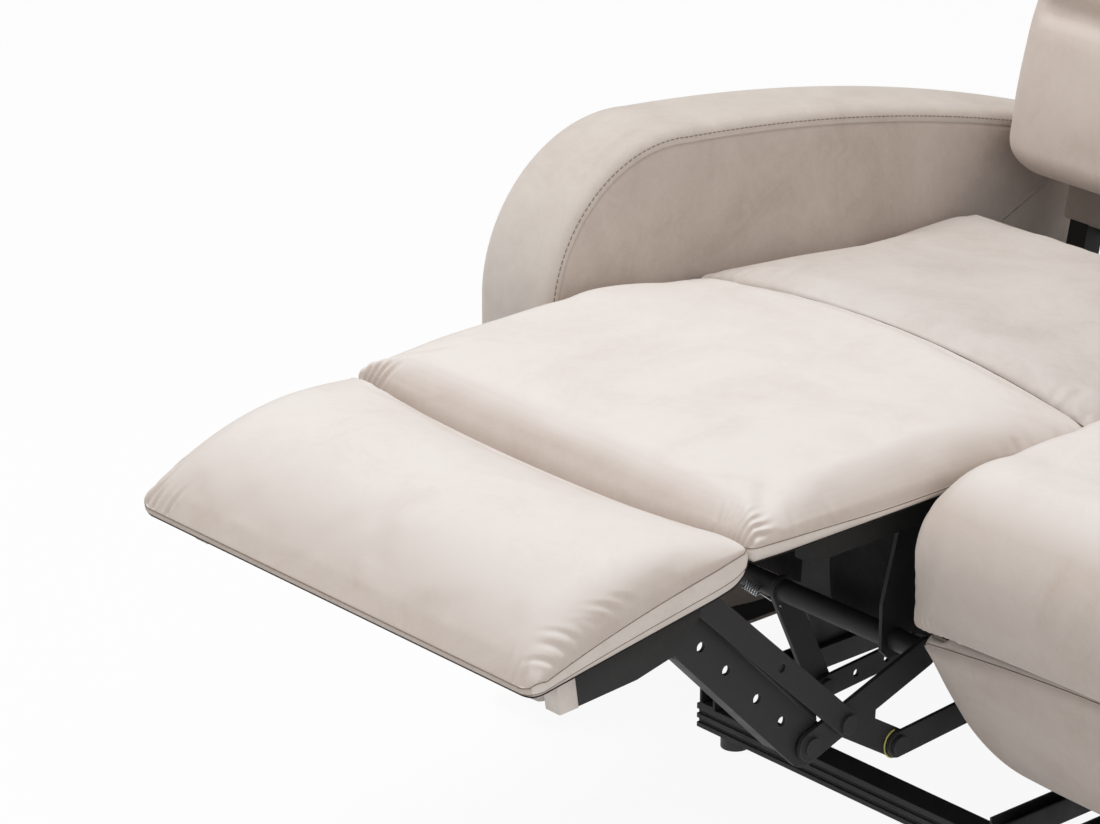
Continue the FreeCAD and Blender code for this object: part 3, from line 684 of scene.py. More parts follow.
@dataclass(frozen=True)
class Lattice:
    """A box of quads with its six sides welded at the edges."""

    across: int
    along: int
    high: int

    def build(self) -> tuple[Array, list[Face], Array]:
        """Make the unit box.

        Returns:
            Points from -1 to 1 on each axis, faces, and the panel of each face.
        """
        counts = (self.across, self.along, self.high)
        index: dict[tuple[int, int, int], int] = {}
        faces: list[Face] = []
        panels: list[int] = []

        def at(*key: int) -> int:
            """Number of the point at a lattice place."""
            return index.setdefault(key, len(index))

        sides = ((Panel.TOP, 2, 1), (Panel.BOTTOM, 2, 0), (Panel.LEFT, 0, 0), (Panel.RIGHT, 0, 1),
                 (Panel.FRONT, 1, 0), (Panel.BACK, 1, 1))
        for panel, normal, end in sides:
            first, second = [axis for axis in range(3) if axis != normal]
            flip = (end == 1) == (normal == 1)
            for i in range(counts[first]):
                for j in range(counts[second]):
                    loop = []
                    for di, dj in ((0, 0), (1, 0), (1, 1), (0, 1)):
                        key = [0, 0, 0]
                        key[normal] = counts[normal] * end
                        key[first], key[second] = i + di, j + dj
                        loop.append(at(*key))
                    faces.append(tuple(reversed(loop)) if flip else tuple(loop))
                    panels.append(panel.value)
        keys = np.array(list(index), float)
        return keys / np.array(counts) * 2 - 1, faces, np.array(panels)


# The coarse cover that settles as cloth, for how many frames, and how often its movement is smoothed
WEAVE = Lattice(56, 44, 3)
SETTLING_FRAMES = 20
SMOOTHINGS = 2


@dataclass(frozen=True)
class Pleat:
    """A pulled crease that runs from a seam into a panel, in plan millimetres and radians."""

    x: float
    y: float
    heading: float
    length: float
    depth: float
    width: float
    lead: float = 6.0
    lead_fade: float = 8.0
    ridge: float = 0.45
    ridge_at: float = 1.9

    def press(self, across: Array, along: Array) -> Array:
        """Find how deep the crease is, with a soft ridge on both sides.

        Args:
            across, along: the plan places of the points.

        Returns:
            The depth at each point, in millimetres.
        """
        dx, dy = across - self.x, along - self.y
        run = dx * math.cos(self.heading) + dy * math.sin(self.heading)
        off = (-dx * math.sin(self.heading) + dy * math.cos(self.heading)) / self.width
        fade = smooth((run + self.lead) / self.lead_fade) * (1 - smooth(run / self.length))
        ridges = self.ridge * np.exp(-((np.abs(off) - self.ridge_at) ** 2))
        return self.depth * fade * (np.exp(-off * off) - ridges)


@dataclass(frozen=True)
class Gathers:
    """Creases spread unevenly along a stretch of seam.

    Headings are in degrees, 0 across to the right and 90 to the back. Pairs of shares are ranges.
    """

    seed: int
    start: Point2
    end: Point2
    count: int
    heading: float
    length: float
    depth: float
    width: float = 3.6
    shift: float = 0.34
    lean: float = 15.0
    lengths: Point2 = (0.55, 1.35)
    depths: Point2 = (0.45, 1.25)
    widths: Point2 = (0.75, 1.3)

    def pleats(self) -> list[Pleat]:
        """Spread the creases.

        Returns:
            The creases, in order along the seam.
        """
        dice = np.random.RandomState(self.seed)
        found = []
        for step in range(self.count):
            share = (step + 0.5 + dice.uniform(-self.shift, self.shift)) / self.count
            x, y = (self.start[i] + (self.end[i] - self.start[i]) * share for i in (0, 1))
            heading = math.radians(self.heading + dice.uniform(-self.lean, self.lean))
            found.append(Pleat(x, y, heading, self.length * dice.uniform(*self.lengths),
                               self.depth * dice.uniform(*self.depths),
                               self.width * dice.uniform(*self.widths)))
        return found


def gathered(*rows: tuple) -> list[Pleat]:
    """The creases of several stretches of seam, each row holding the fields of Gathers."""
    return [pleat for row in rows for pleat in Gathers(*row).pleats()]


@dataclass
class Pad:
    """A sewn pad: a top panel that rolls over to a seam, a side strip and an underside.

    Pairs of sizes are for the front and the back.
    """

    name: str
    half: float
    front: float
    back: float
    seam: Height
    top: Height
    floor: Height
    roll_side: float
    roll: Point2
    corners: Point2
    lattice: Lattice
    pleats: list[Pleat]
    even: float = 0.45
    crown: float = 4.0
    crown_fall: float = 0.55
    drawn_in: Point2 = (0.0, 0.0)
    draw_reach: float = 50.0
    fullness: Point2 = (3.2, 3.2)
    strip_swell: float = 1.6
    tuck: float = 5.0
    seam_press: float = 0.04
    pressure: float = 2.0
    cap: float = 4.0

    def shape(self, unit: Array) -> Array:
        """Place the unit box's points.

        Args:
            unit: points from -1 to 1 on each axis.

        Returns:
            Points in millimetres, about the seat's middle plane.
        """
        u, v = spread(unit[:, 0], self.even), spread(unit[:, 1], self.even)
        lift = (unit[:, 2] + 1) / 2
        middle, reach = (self.front + self.back) / 2, (self.back - self.front) / 2
        # The plan: round corners, and sides drawn in towards a crease
        edge_x, edge_y = self.half * (1 - np.abs(u)), reach * (1 - np.abs(v))
        corner = np.where(v < 0, *self.corners)
        edge_x, edge_y = eased(edge_x, edge_y, corner), eased(edge_y, edge_x, corner)
        x = np.sign(u) * (self.half - edge_x)
        y = middle + np.sign(v) * (reach - edge_y)
        in_front = smooth((self.front + self.draw_reach - y) / self.draw_reach)
        behind = smooth((y - self.back + self.draw_reach) / self.draw_reach)
        x = x * (1 - (self.drawn_in[0] * in_front + self.drawn_in[1] * behind) / self.half)
        # The top panel rolls over the rim down to the seam
        at_side = np.clip(1 - edge_x / self.roll_side, 0, 1)
        at_end = np.clip(1 - edge_y / np.where(v < 0, *self.roll), 0, 1)
        power = np.where(v < 0, *self.fullness)
        dome = domed((at_side ** power + at_end ** power) ** (1 / power))
        seam, floor = self.seam(x, y), self.floor(x, y)
        swell = self.crown * (1 - u * u) * (1 - self.crown_fall * v * v)
        upper = seam + (self.top(x, y) - seam + swell) * dome
        z = np.where(lift >= 1, upper, floor + (seam - floor) * lift)
        # The side strip swells a little and tucks in below
        bulge = self.strip_swell * np.sin(lift * math.pi) - self.tuck * (1 - lift) ** 2
        bulge = np.where(on_rim(unit) & (lift < 1), bulge, 0.0)
        x = x + np.where(np.abs(unit[:, 0]) >= 1, np.sign(u) * bulge, 0.0)
        y = y + np.where(np.abs(unit[:, 1]) >= 1, np.sign(v) * bulge, 0.0)
        return np.column_stack((x, y, z))

    def build(self, datum: Datum, finishes: Sequence[Material]) -> Piece:
        """Cut, sew and stuff the pad.

        Args:
            datum: the frame's places.
            finishes: top panel, side strip, underside and front strip.

        Returns:
            The open left pad at the left seat, before any tilt.
        """
        unit, faces, panels = self.lattice.build()
        slot = np.full(len(panels), 1)
        for panel, number in ((Panel.TOP, 0), (Panel.BOTTOM, 2), (Panel.FRONT, 3)):
            slot[panels == panel.value] = number
        points = stuffed(self.shape, self.lattice, False, self.pressure, self.cap)
        piece = Piece(self.name, points, faces, finishes, slot)
        loose = np.where(unit[:, 2] < 1, 0.0, np.where(on_rim(unit), self.seam_press, 1.0))
        press = np.zeros(len(points))
        for pleat in self.pleats:
            press += pleat.press(points[:, 0], points[:, 1])
        piece.points = points - piece.normals() * (loose * press)[:, None]
        piece.points = piece.points + (datum.seat_x, 0.0, 0.0)
        return piece

    def seam_line(self, piece: Piece, row: int) -> Array:
        """A closed seam round the side strip of a built pad, in order.

        Args:
            piece: what build() returned, also when it has been moved.
            row: the lattice row of the strip, counted down from the top panel.

        Returns:
            An (n, 3) array along the seam.
        """
        unit = self.lattice.build()[0]
        level = 1 - 2 * row / self.lattice.high
        line = np.nonzero((np.abs(unit[:, 2] - level) < 0.01) & on_rim(unit))[0]
        angle = np.arctan2(unit[line, 1], unit[line, 0])
        return piece.points[line[np.argsort(angle)]]


def blown_up(points: Array, faces: list[Face], held: Array, pressure: float) -> Array:
    """Blow a sewn cover up as cloth, with its seams held.

    Args:
        points: the cover before stuffing, in millimetres.
        faces: its faces.
        held: which points the seams and the board hold.
        pressure: the air pressure that stands in for foam.

    Returns:
        How far each point moves, in millimetres.
    """
    mesh = bpy.data.meshes.new("cover")
    mesh.from_pydata([tuple(p * MM) for p in points], [], faces)
    cover = bpy.data.objects.new("cover", mesh)
    bpy.context.scene.collection.objects.link(cover)
    pins = cover.vertex_groups.new(name="seams")
    pins.add([int(i) for i in np.nonzero(held)[0]], 1.0, "REPLACE")
    cloth = cover.modifiers.new("cloth", "CLOTH")
    rules = cloth.settings
    rules.quality = 6
    rules.mass = 0.25
    rules.tension_stiffness = rules.compression_stiffness = 14.0
    rules.shear_stiffness = 5.0
    rules.bending_stiffness = 0.6
    rules.vertex_group_mass = "seams"
    rules.use_pressure = True
    rules.uniform_pressure_force = pressure
    rules.shrink_min = -0.004
    rules.effector_weights.gravity = 0.0
    cloth.collision_settings.use_collision = False
    cloth.point_cache.frame_start, cloth.point_cache.frame_end = 1, SETTLING_FRAMES
    scene = bpy.context.scene
    for moment in range(1, SETTLING_FRAMES + 1):
        scene.frame_set(moment)
    settled = cover.evaluated_get(bpy.context.evaluated_depsgraph_get()).to_mesh()
    found = np.zeros(len(points) * 3, np.float32)
    settled.vertices.foreach_get("co", found)
    bpy.data.objects.remove(cover)
    scene.frame_set(1)
    return found.reshape(-1, 3) / MM - points


def stuffed(shape: Carry, fine: Lattice, inverted: bool, pressure: float, cap: float) -> Array:
    """Shape a cover and let its top panel settle as cloth on a coarser weave.

    Args:
        shape: places the points of a unit box.
        fine: the cover's own lattice.
        inverted: whether the shape turns the box inside out.
        pressure: the air pressure that stands in for foam.
        cap: how far a point may move, in millimetres.

    Returns:
        The points of the fine lattice after the cloth has settled.
    """
    unit = fine.build()[0]
    points = shape(unit)
    place, faces, _ = WEAVE.build()
    top = place[:, 2] >= 1
    faces = [tuple(reversed(f)) for f in faces] if inverted else faces
    moved = blown_up(shape(place), faces, ~top | on_rim(place), pressure)
    reach = np.linalg.norm(moved, axis=1, keepdims=True)
    moved *= np.minimum(1.0, cap / np.maximum(reach, TINY))
    # The movement of the top panel as a grid, smoothed, then read between its points
    grid = np.zeros((WEAVE.across + 1, WEAVE.along + 1, 3))
    rows = np.rint((place[top, 0] + 1) / 2 * WEAVE.across).astype(int)
    columns = np.rint((place[top, 1] + 1) / 2 * WEAVE.along).astype(int)
    grid[rows, columns] = moved[top]
    for _ in range(SMOOTHINGS):
        around = grid[:-2, 1:-1] + grid[2:, 1:-1] + grid[1:-1, :-2] + grid[1:-1, 2:]
        grid[1:-1, 1:-1] = grid[1:-1, 1:-1] * 0.5 + around * 0.125
    upper = unit[:, 2] >= 1
    a, b = (unit[upper, 0] + 1) / 2 * WEAVE.across, (unit[upper, 1] + 1) / 2 * WEAVE.along
    i, j = np.minimum(a.astype(int), WEAVE.across - 1), np.minimum(b.astype(int), WEAVE.along - 1)
    p, q = (a - i)[:, None], (b - j)[:, None]
    points[upper] += ((1 - p) * (1 - q) * grid[i, j] + p * (1 - q) * grid[i + 1, j]
                      + (1 - p) * q * grid[i, j + 1] + p * q * grid[i + 1, j + 1])
    return points


def tube(name: str, line: Array, radius: float, finish: Material, closed: bool = False,
         sides: int = 6) -> Piece:
    """A thin round tube along a line.

    Args:
        name: the piece's name.
        line: points in millimetres.
        radius: in millimetres.
        finish: its material.
        closed: whether the line joins its own start.
        sides: corners of its section.

    Returns:
        The tube.
    """
    ahead = np.roll(line, -1, 0) - np.roll(line, 1, 0)
    if not closed:
        ahead[0], ahead[-1] = line[1] - line[0], line[-1] - line[-2]
    ahead /= np.maximum(np.linalg.norm(ahead, axis=1, keepdims=True), TINY)
    up = np.where(np.abs(ahead[:, 2:3]) > 0.9, np.array([[1.0, 0.0, 0.0]]), np.array([[0.0, 0.0, 1.0]]))
    right = np.cross(ahead, up)
    right /= np.linalg.norm(right, axis=1, keepdims=True)
    upward = np.cross(right, ahead)
    angles = np.arange(sides) * 2 * math.pi / sides
    rings = [line + radius * (math.cos(a) * right + math.sin(a) * upward) for a in angles]
    faces = ring_faces(len(line), sides, closed, capped=not closed)
    return Piece(name, np.stack(rings, 1).reshape(-1, 3), faces, [finish], subdivide=0)


def slab(name: str, outline: Array, low: float, high: float, finish: Material) -> Piece:
    """A solid strip with a side-view outline, its edges eased.

    Args:
        name: the piece's name.
        outline: (n, 2) side-view corners.
        low, high: its two faces along X.
        finish: its material.

    Returns:
        The strip.
    """
    ease, half_ease = 1.6, 0.5
    away = outline - outline.mean(0)
    away = away / np.linalg.norm(away, axis=1, keepdims=True)
    rings = []
    for x, inward in ((low, ease), (low + half_ease, half_ease), (low + ease, 0.0), (high - ease, 0.0),
                      (high - half_ease, half_ease), (high, ease)):
        rings.append(np.column_stack((np.full(len(outline), x), outline - away * inward)))
    faces = ring_faces(len(rings), len(outline), capped=True)
    after = np.roll(outline, -1, 0)
    if np.sum(outline[:, 0] * after[:, 1] - after[:, 0] * outline[:, 1]) > 0:
        faces = [tuple(reversed(f)) for f in faces]
    return Piece(name, np.vstack(rings), faces, [finish], subdivide=0)


def cloth_panel(name: str, first: Point2, second: Point2, depth: Height, finish: Material,
                facing_x: bool, cells: tuple[int, int] = (60, 40)) -> Piece:
    """A thin sheet over a rectangle, with its slack as a depth.

    Args:
        name: the piece's name.
        first, second: the ranges of the two directions in the sheet.
        depth: place of the sheet's face from two shares between 0 and 1.
        finish: its material.
        facing_x: whether the sheet faces along X, and otherwise along Y.
        cells: how many quads each way.

    Returns:
        The sheet, one layer thick.
    """
    wide, tall = cells
    a, b = (grid.ravel() for grid in np.meshgrid(np.linspace(0, 1, wide + 1), np.linspace(0, 1, tall + 1)))
    corner = [row * (wide + 1) + column for row in range(tall) for column in range(wide)]
    faces = [(c, c + 1, c + wide + 2, c + wide + 1) for c in corner]
    along, up = first[0] + (first[1] - first[0]) * a, second[0] + (second[1] - second[0]) * b
    face = depth(a, b)
    points = np.column_stack((face, along, up) if facing_x else (along, -face, up))
    return Piece(name, points, faces, [finish], subdivide=0)


@dataclass
class SeatPads:
    """The sewn pads of both seats: footrest, long middle pad and sitting cushion."""

    datum: Datum
    finishes: Finishes
    half: float = 277.5
    deck: float = 427.0
    board: float = 12.0
    board_half: float = 247.0
    foot_length: float = 262.0
    thigh_back: float = 190.0
    seat_back: float = 575.0
    bend: float = 60.0
    shut_bend: float = 45.0
    joint_high: float = 50.0
    joint_bow: float = 32.0
    joint_reach: float = 40.0
    # Radii of the dark tubes along the pads' seam and the footrest's hem, painted shade of their grooves.
    seam_shade_thread: float = 0.55
    hem_shade_thread: float = 0.4
    hem_row: int = 4

    def footrest(self) -> Pad:
        """Draw the wedge-shaped footrest pad.

        Returns:
            The pad in the untilted place of its board.
        """
        overlap, lap, hidden, wrap = 0.4, 1.5, 7, 26
        rim, rim_fade, side_fade, sag_from = 10, 6, 8, 0.6
        nose, fullest, seam_climb, round_up = self.deck + 8, 53, 20, 18
        top_sag, seam_sag = 15, 14
        hinge = self.datum.foot_hinge[0]
        tip, crease = hinge - self.foot_length, hinge + overlap
        near, far = self.half, -self.half

        def share(y: Array) -> Array:
            """0 at the tip and 1 at the crease."""
            return np.clip((y - tip) / (crease - tip), 0, 1)

        def sag(x: Array, y: Array) -> Array:
            """1 where the crease is pulled down most, midway between the sides."""
            return (1 - (x / self.half) ** 2) * smooth((share(y) - sag_from) / (1 - sag_from))

        def inside(x: Array, y: Array) -> Array:
            """1 within the board's rim and 0 outside it."""
            across = smooth((self.board_half - rim - np.abs(x)) / rim_fade)
            return across * smooth((y - tip - wrap) / rim_fade)

        def floor(x: Array, y: Array) -> Array:
            """Wrapped under the board's rim, hidden inside the board, rounded up at the crease."""
            rise = (1 - domed((y - crease + wrap) / wrap)) * smooth((np.abs(x) - self.board_half) / side_fade)
            return self.deck - lap + hidden * inside(x, y) + round_up * rise

        def top(x: Array, y: Array) -> Array:
            """A round nose at the tip, fullest before the middle, falling to the crease."""
            return nose + fullest * np.sin(share(y) ** 0.75 * math.pi * 0.82) ** 0.9 - top_sag * sag(x, y)

        def seam(x: Array, y: Array) -> Array:
            """Low round the tip, climbing along the sides, and lower again inside the crease."""
            return nose + seam_climb * (1 - (1 - share(y)) ** 2.4) - seam_sag * sag(x, y)

        pleats = gathered((11, (near - 3, tip + 26), (near - 3, tip + 130), 8, 228, 36, 2.3, 2.0),
                          (12, (far, tip + 10), (far, tip + 50), 4, 40, 36, 2.8, 2.2),
                          (13, (far + 4, tip), (far + 44, tip), 5, 80, 40, 3.0, 2.2),
                          (14, (near - 40, tip), (near - 6, tip), 4, 105, 26, 2.2, 2.0),
                          (15, (far + 16, crease), (far + 80, crease), 4, -150, 46, 2.0, 2.6))
        return Pad("left_footrest_cover", self.half, tip, crease, seam=seam, top=top, floor=floor,
                   crown=3.0, roll_side=48.0, roll=(16.0, 6.0), drawn_in=(0.0, 3.0), corners=(18.0, 6.0),
                   fullness=(3.2, 8.0), lattice=Lattice(150, 84, 6), pleats=pleats)

    def middle(self) -> Pad:
        """Draw the long pad over the thigh board and the leg board.

        Returns:
            The pad, open and level.
        """
        rear_from, lip_reach, side_reach, end_from, crease_reach = 10, 90, 200, 40, 30
        full, fall, corner_fall, lip_fall = self.deck + 57, 2, 26, 5
        low, side_fall, end_fall, lip_deep = self.deck + 28, 7, 9, 13.8
        front, back = self.datum.foot_hinge[0], self.thigh_back
        near, far = self.half, -self.half

        def top(x: Array, y: Array) -> Array:
            """Full and level over the legs, rounded down to the sitting cushion, most at its corners."""
            rear = smooth((y - rear_from) / (back - rear_from)) * (fall + corner_fall * (x / self.half) ** 2)
            return full - rear - lip_fall * smooth((front + lip_reach - y) / lip_reach)

        def lip(x: Array, y: Array) -> Array:
            """How much deeper the seam lies in the crease, most midway between the sides."""
            return lip_deep * (1 - (x / self.half) ** 2) * smooth((front + crease_reach - y) / crease_reach)

        def side(y: Array) -> Array:
            """Height of the seam along the sides."""
            end = smooth((y - end_from) / (back - end_from))
            return low - side_fall * smooth((y - front) / side_reach) - end_fall * end

        def seam(x: Array, y: Array) -> Array:
            """Along the sides near the board, deep in the crease, and high across the sitting cushion."""
            rear = smooth((y - back + self.joint_reach) / self.joint_reach)
            return side(y) - lip(x, y) + rear * (self.joint(x) - side(y))

        def floor(x: Array, y: Array) -> Array:
            """Level, just above the boards."""
            return np.full_like(x, self.deck + self.board + 1.0)

        # Two fans of pulled creases at the front corners
        pleats = [Pleat(near - 2.0 - 6.2 * i, front, math.radians(76 + 5 * i), 46 - 2.0 * i,
                        4.4 - 0.2 * i, 2.2) for i in range(9)]
        pleats += [Pleat(far + 3.0 + 7.0 * i, front, math.radians(104 - 6 * i), 44 - 3.0 * i, 5.0, 2.3)
                   for i in range(6)]
        pleats += gathered((23, (near, front + 20), (near, front + 120), 5, 180, 26, 1.2),
                           (24, (near, back - 150), (near, back - 10), 6, 180, 22, 1.4))
        return Pad("left_middle_cover", self.half, front, back, seam=seam, top=top, floor=floor,
                   roll_side=46.0, roll=(30.0, 26.0), drawn_in=(2.0, 0.0), corners=(10.0, 14.0),
                   fullness=(7.0, 3.2), tuck=6.0, lattice=Lattice(150, 120, 5), pleats=pleats)

    def joint(self, x: Array) -> Array:
        """Height of the seam between the middle pad and the sitting cushion."""
        return self.deck + self.joint_high - self.joint_bow * (x / self.half) ** 2

    def cushion(self) -> Pad:
        """Draw the sitting cushion behind the middle pad.

        Returns:
            The cushion, open.
        """
        full, rear_fall, side_droop, clear, ease = self.deck + 56, 40, 34, self.deck + 5.0, 16.0
        level, rise, hang = self.deck + 6, 8, 38
        under, floor_hang, floor_reach, floor_from = self.deck + 3, 46, 6, 90
        front, back = self.thigh_back + 2, self.seat_back
        near, rail = self.half, self.board_half + 2

        def share(y: Array) -> Array:
            """0 at the middle pad and 1 at the back."""
            return np.clip((y - front) / (back - front), 0, 1)

        def top(x: Array, y: Array) -> Array:
            """Falls back to the rear, droops to the sides, and stays clear above the side rails."""
            droop = full - rear_fall * share(y) ** 1.1 - side_droop * (x / self.half) ** 4
            return clear + 0.5 * (droop - clear + np.sqrt((droop - clear) ** 2 + ease))

        def past(x: Array) -> Array:
            """0 over the side rails and 1 at the cushion's edges."""
            return smooth((np.abs(x) - rail) / (self.half - rail))

        def seam(x: Array, y: Array) -> Array:
            """High across the middle pad, hanging past the side rails, level along the back."""
            along = level + past(x) * (rise - hang * share(y))
            return along + smooth((front + self.joint_reach - y) / self.joint_reach) * (self.joint(x) - along)

        def floor(x: Array, y: Array) -> Array:
            """On the rails inside them, and hanging past them at the sides."""
            outside = smooth((np.abs(x) - rail) / floor_reach)
            return under - floor_hang * outside * smooth((y - front) / floor_from)

        pleats = gathered((31, (-near, front), (-near + 70, front), 5, 70, 40, 2.2, 3.0),
                          (32, (near - 70, front), (near, front), 5, 110, 40, 2.2, 3.0))
        return Pad("left_seat_cover", self.half, front, back, seam=seam, top=top, floor=floor,
                   roll_side=30.0, roll=(26.0, 30.0), corners=(14.0, 24.0), lattice=Lattice(128, 84, 5),
                   pleats=pleats, cap=3.0)

    def bent_shut(self, points: Array) -> Array:
        """Wrap the middle pad round the leg hinge, with its sides drawn in at the nose.

        Args:
            points: the right pad's points, open.

        Returns:
            The points at the shut pose.
        """
        edge_reach, nose_at, nose_reach, drawn = 80, 10, 46, 0.36
        y, z = self.datum.leg_hinge
        off_middle = np.abs(points[:, 0] + np.sign(-points[:, 0]) * self.datum.bay / 2)
        edge = np.clip(1 - (self.half - off_middle) / edge_reach, 0, 1) ** 2
        nose = np.exp(-(((points[:, 1] - y) - nose_at) / nose_reach) ** 2)
        points = points.copy()
        points[:, 2] = z + (points[:, 2] - z) * (1 - drawn * edge * nose)
        share = smooth((y + self.bend - points[:, 1]) / (2 * self.bend))
        return self.datum.shut_carriage(turned(points, self.datum.leg_hinge, share * self.datum.leg_turn))

    def build(self) -> None:
        """Make the pads of both seats and hang them on their bodies."""
        datum, made_of = self.datum, self.finishes
        plan = ((self.footrest(), "footrest", ("footrest_pad",), datum.shut_footrest, 0.7),
                (self.middle(), "middle", ("thigh_pad", "leg_pad"), self.bent_shut, 0.75),
                (self.cushion(), "carriage", ("seat_cushion",), datum.shut_carriage, 0.7))
        for pad, body, nodes, shut, fill in plan:
            top = made_of.sitting if body == "carriage" else made_of.velvet
            # The footrest's front strip faces down and forward and takes the darker velvet, painted shade.
            front = made_of.against if body == "footrest" else made_of.boxing
            piece = pad.build(datum, [top, made_of.boxing, made_of.lining, front])
            # Dark thread tubes along the seam and the hem: painted shade in their grooves.
            shade_lines = [("seam", 0, self.seam_shade_thread)]
            if body == "footrest":
                piece.points = turned(piece.points, datum.foot_hinge, datum.foot_tilt)
                shade_lines.append(("hem", self.hem_row, self.hem_shade_thread))
            for side, part in piece.both(shut):
                self.place(side, part, body, nodes, fill)
            for kind, row, radius in shade_lines:
                line = pad.seam_line(piece, row)
                thread = tube(pad.name.replace("cover", kind), line, radius, made_of.thread, True)
                for side, part in thread.both(shut):
                    self.place(side, part, body, (), fill)

    def place(self, side: Side, piece: Piece, body: str, nodes: Sequence[str], fill: float) -> None:
        """Make one pad or seam and tie it to its body, except the middle pad, which stays where it is made.

        Args:
            side: which seat.
            piece: the pad or its seam.
            body: the body's name without its side, or middle for the pad that bends.
            nodes: the solids that the pad stands for, none for a seam.
            fill: how firmly it is stuffed; not used.
        """
        made = piece.dress(self.datum, "velvet")
        if nodes:
            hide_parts(*[f"{side.value}_{node}" for node in nodes])
        if body != "middle":
            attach(made, f"{side.value}_{body}")
            return
        y, z = self.datum.leg_hinge
        x = side.sign * self.datum.bay / 2
        if side is Side.LEFT:
            start, end = (y + self.bend, z), (y - self.bend, z)
        else:
            y, reach = y + self.datum.travel, self.shut_bend
            start, end = (y + reach, z + reach), (y - reach, z - reach)
        self.datum.row_point(x, *start)
        self.datum.row_point(x, *end)
        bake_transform(made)


@dataclass
class Backs:
    """The two upholstered backs, each a cushion in three bolsters on a covered frame.

    The pair of rolls is for the foot and the top.
    """

    datum: Datum
    finishes: Finishes
    half: float = 276.0
    top: float = 985.0
    foot: float = 462.0
    height: float = 520.0
    strip: float = 62.0
    swell: float = 72.0
    roll_side: float = 60.0
    roll: Point2 = (45.0, 85.0)
    corner: float = 34.0
    even: float = 0.6
    frame_half: float = 13.0
    seams: tuple[float, ...] = (0.36, 0.7)
    seam_deep: float = 15.0
    seam_wide: float = 15.0
    seam_end: float = 30.0
    top_crown: float = 16.0
    top_fall: float = 14.0
    top_reach: float = 90.0
    belly: float = 16.0
    lumbar: Point3 = (10.0, 0.18, 0.14)
    panel_half: float = 262.0
    panel_high: float = 590.0
    panel_foot: float = 50.0
    panel_in: float = 15.0
    panel_crown: float = 6.0
    panel_base: float = 6.0
    panel_lap: float = 1.0
    panel_dome: float = 9.0
    panel_round: float = 14.0
    panel_puff: float = 2.5

    def cushion(self) -> Piece:
        """Make the cushion, crowned forward, with two sewn lines across.

        Returns:
            The left cushion, tilted with its frame.
        """
        lattice = Lattice(84, 84, 8)
        _, faces, panels = lattice.build()
        slot = np.where(panels == Panel.TOP.value, 0, 1)
        faces = [tuple(reversed(f)) for f in faces]
        points = stuffed(self.shape, lattice, inverted=True, pressure=2.0, cap=4.0)
        points = turned(points, self.datum.back_pivot, -self.datum.back_tilt)
        return Piece("left_back_cover", points, faces, [self.finishes.velvet, self.finishes.boxing], slot)

    def shape(self, unit: Array) -> Array:
        """Place the unit box's points, before the back's tilt.

        Args:
            unit: points from -1 to 1 on each axis.

        Returns:
            Points in millimetres.
        """
        u = spread(unit[:, 0], self.even)
        v, w = (unit[:, 1] + 1) / 2, (unit[:, 2] + 1) / 2
        pivot_y, pivot_z = self.datum.back_pivot
        tilt = math.radians(self.datum.back_tilt)
        rear = -self.frame_half
        edge_x = self.half * (1 - np.abs(u))
        edge_v = np.minimum(v, 1 - v) * self.height
        at_end = np.clip(1 - edge_v / np.where(v > 0.5, self.roll[1], self.roll[0]), 0, 1)
        dome = domed(np.hypot(np.clip(1 - edge_x / self.roll_side, 0, 1), at_end))
        lines = sum(np.exp(-(((v - place) * self.height) / self.seam_wide) ** 2) for place in self.seams)
        swell, at, reach = self.lumbar
        belly = self.belly * np.sin(v * math.pi) * (1 - u * u) + swell * np.exp(-((v - at) / reach) ** 2)
        front = rear - self.strip - self.swell * dome - belly * dome
        front = front + self.seam_deep * (lines * smooth(edge_x / self.seam_end))
        forward = np.where(w >= 1, front, rear - self.strip * w)
        low = (self.foot - pivot_z + forward * math.sin(tilt)) / math.cos(tilt)
        thin = 1 - np.clip((rear - forward) / self.top_reach, 0, 1)
        high = self.top - pivot_z - self.top_crown * u * u - self.top_fall * thin
        upward = low + (high - low) * v
        x = np.sign(u) * (self.half - eased(edge_x, edge_v, self.corner))
        return np.column_stack((x + self.datum.seat_x, pivot_y + forward, pivot_z + upward))

    def outside(self) -> Piece:
        """Make the covered outside of the back, a thin padded shell behind the frame.

        Returns:
            The left shell, tilted with its frame.
        """
        unit, faces, _ = Lattice(60, 60, 6).build()
        u, v, w = unit[:, 0], (unit[:, 1] + 1) / 2, (unit[:, 2] + 1) / 2
        pivot_y, pivot_z = self.datum.back_pivot
        edge = np.minimum(self.panel_half * (1 - np.abs(u)), np.minimum(v, 1 - v) * self.panel_high)
        puff = self.panel_puff * np.sin(v * math.pi) * np.cos(u * math.pi / 2)
        base, lap = self.frame_half + self.panel_base, self.frame_half + self.panel_lap
        rear = base + self.panel_dome * domed(1 - edge / self.panel_round) + puff
        along = np.where(w >= 1, rear, (base + self.panel_lap) * w - lap)
        high = self.top - self.panel_in - pivot_z
        up = self.panel_foot + (high - self.panel_foot) * v - self.panel_crown * u * u * v
        points = np.column_stack((u * self.panel_half + self.datum.seat_x, pivot_y + along, pivot_z + up))
        points = turned(points, self.datum.back_pivot, -self.datum.back_tilt)
        return Piece("left_back_outside", points, faces, [self.finishes.against])

    def build(self) -> None:
        """Make both backs and ride them on their bodies."""
        for piece, node, fill in ((self.cushion(), "back_cushion", 0.65), (self.outside(), None, 0.9)):
            for side, part in piece.both():
                made = part.dress(self.datum, "velvet")
                if node:
                    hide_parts(f"{side.value}_{node}")
                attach(made, f"{side.value}_back")


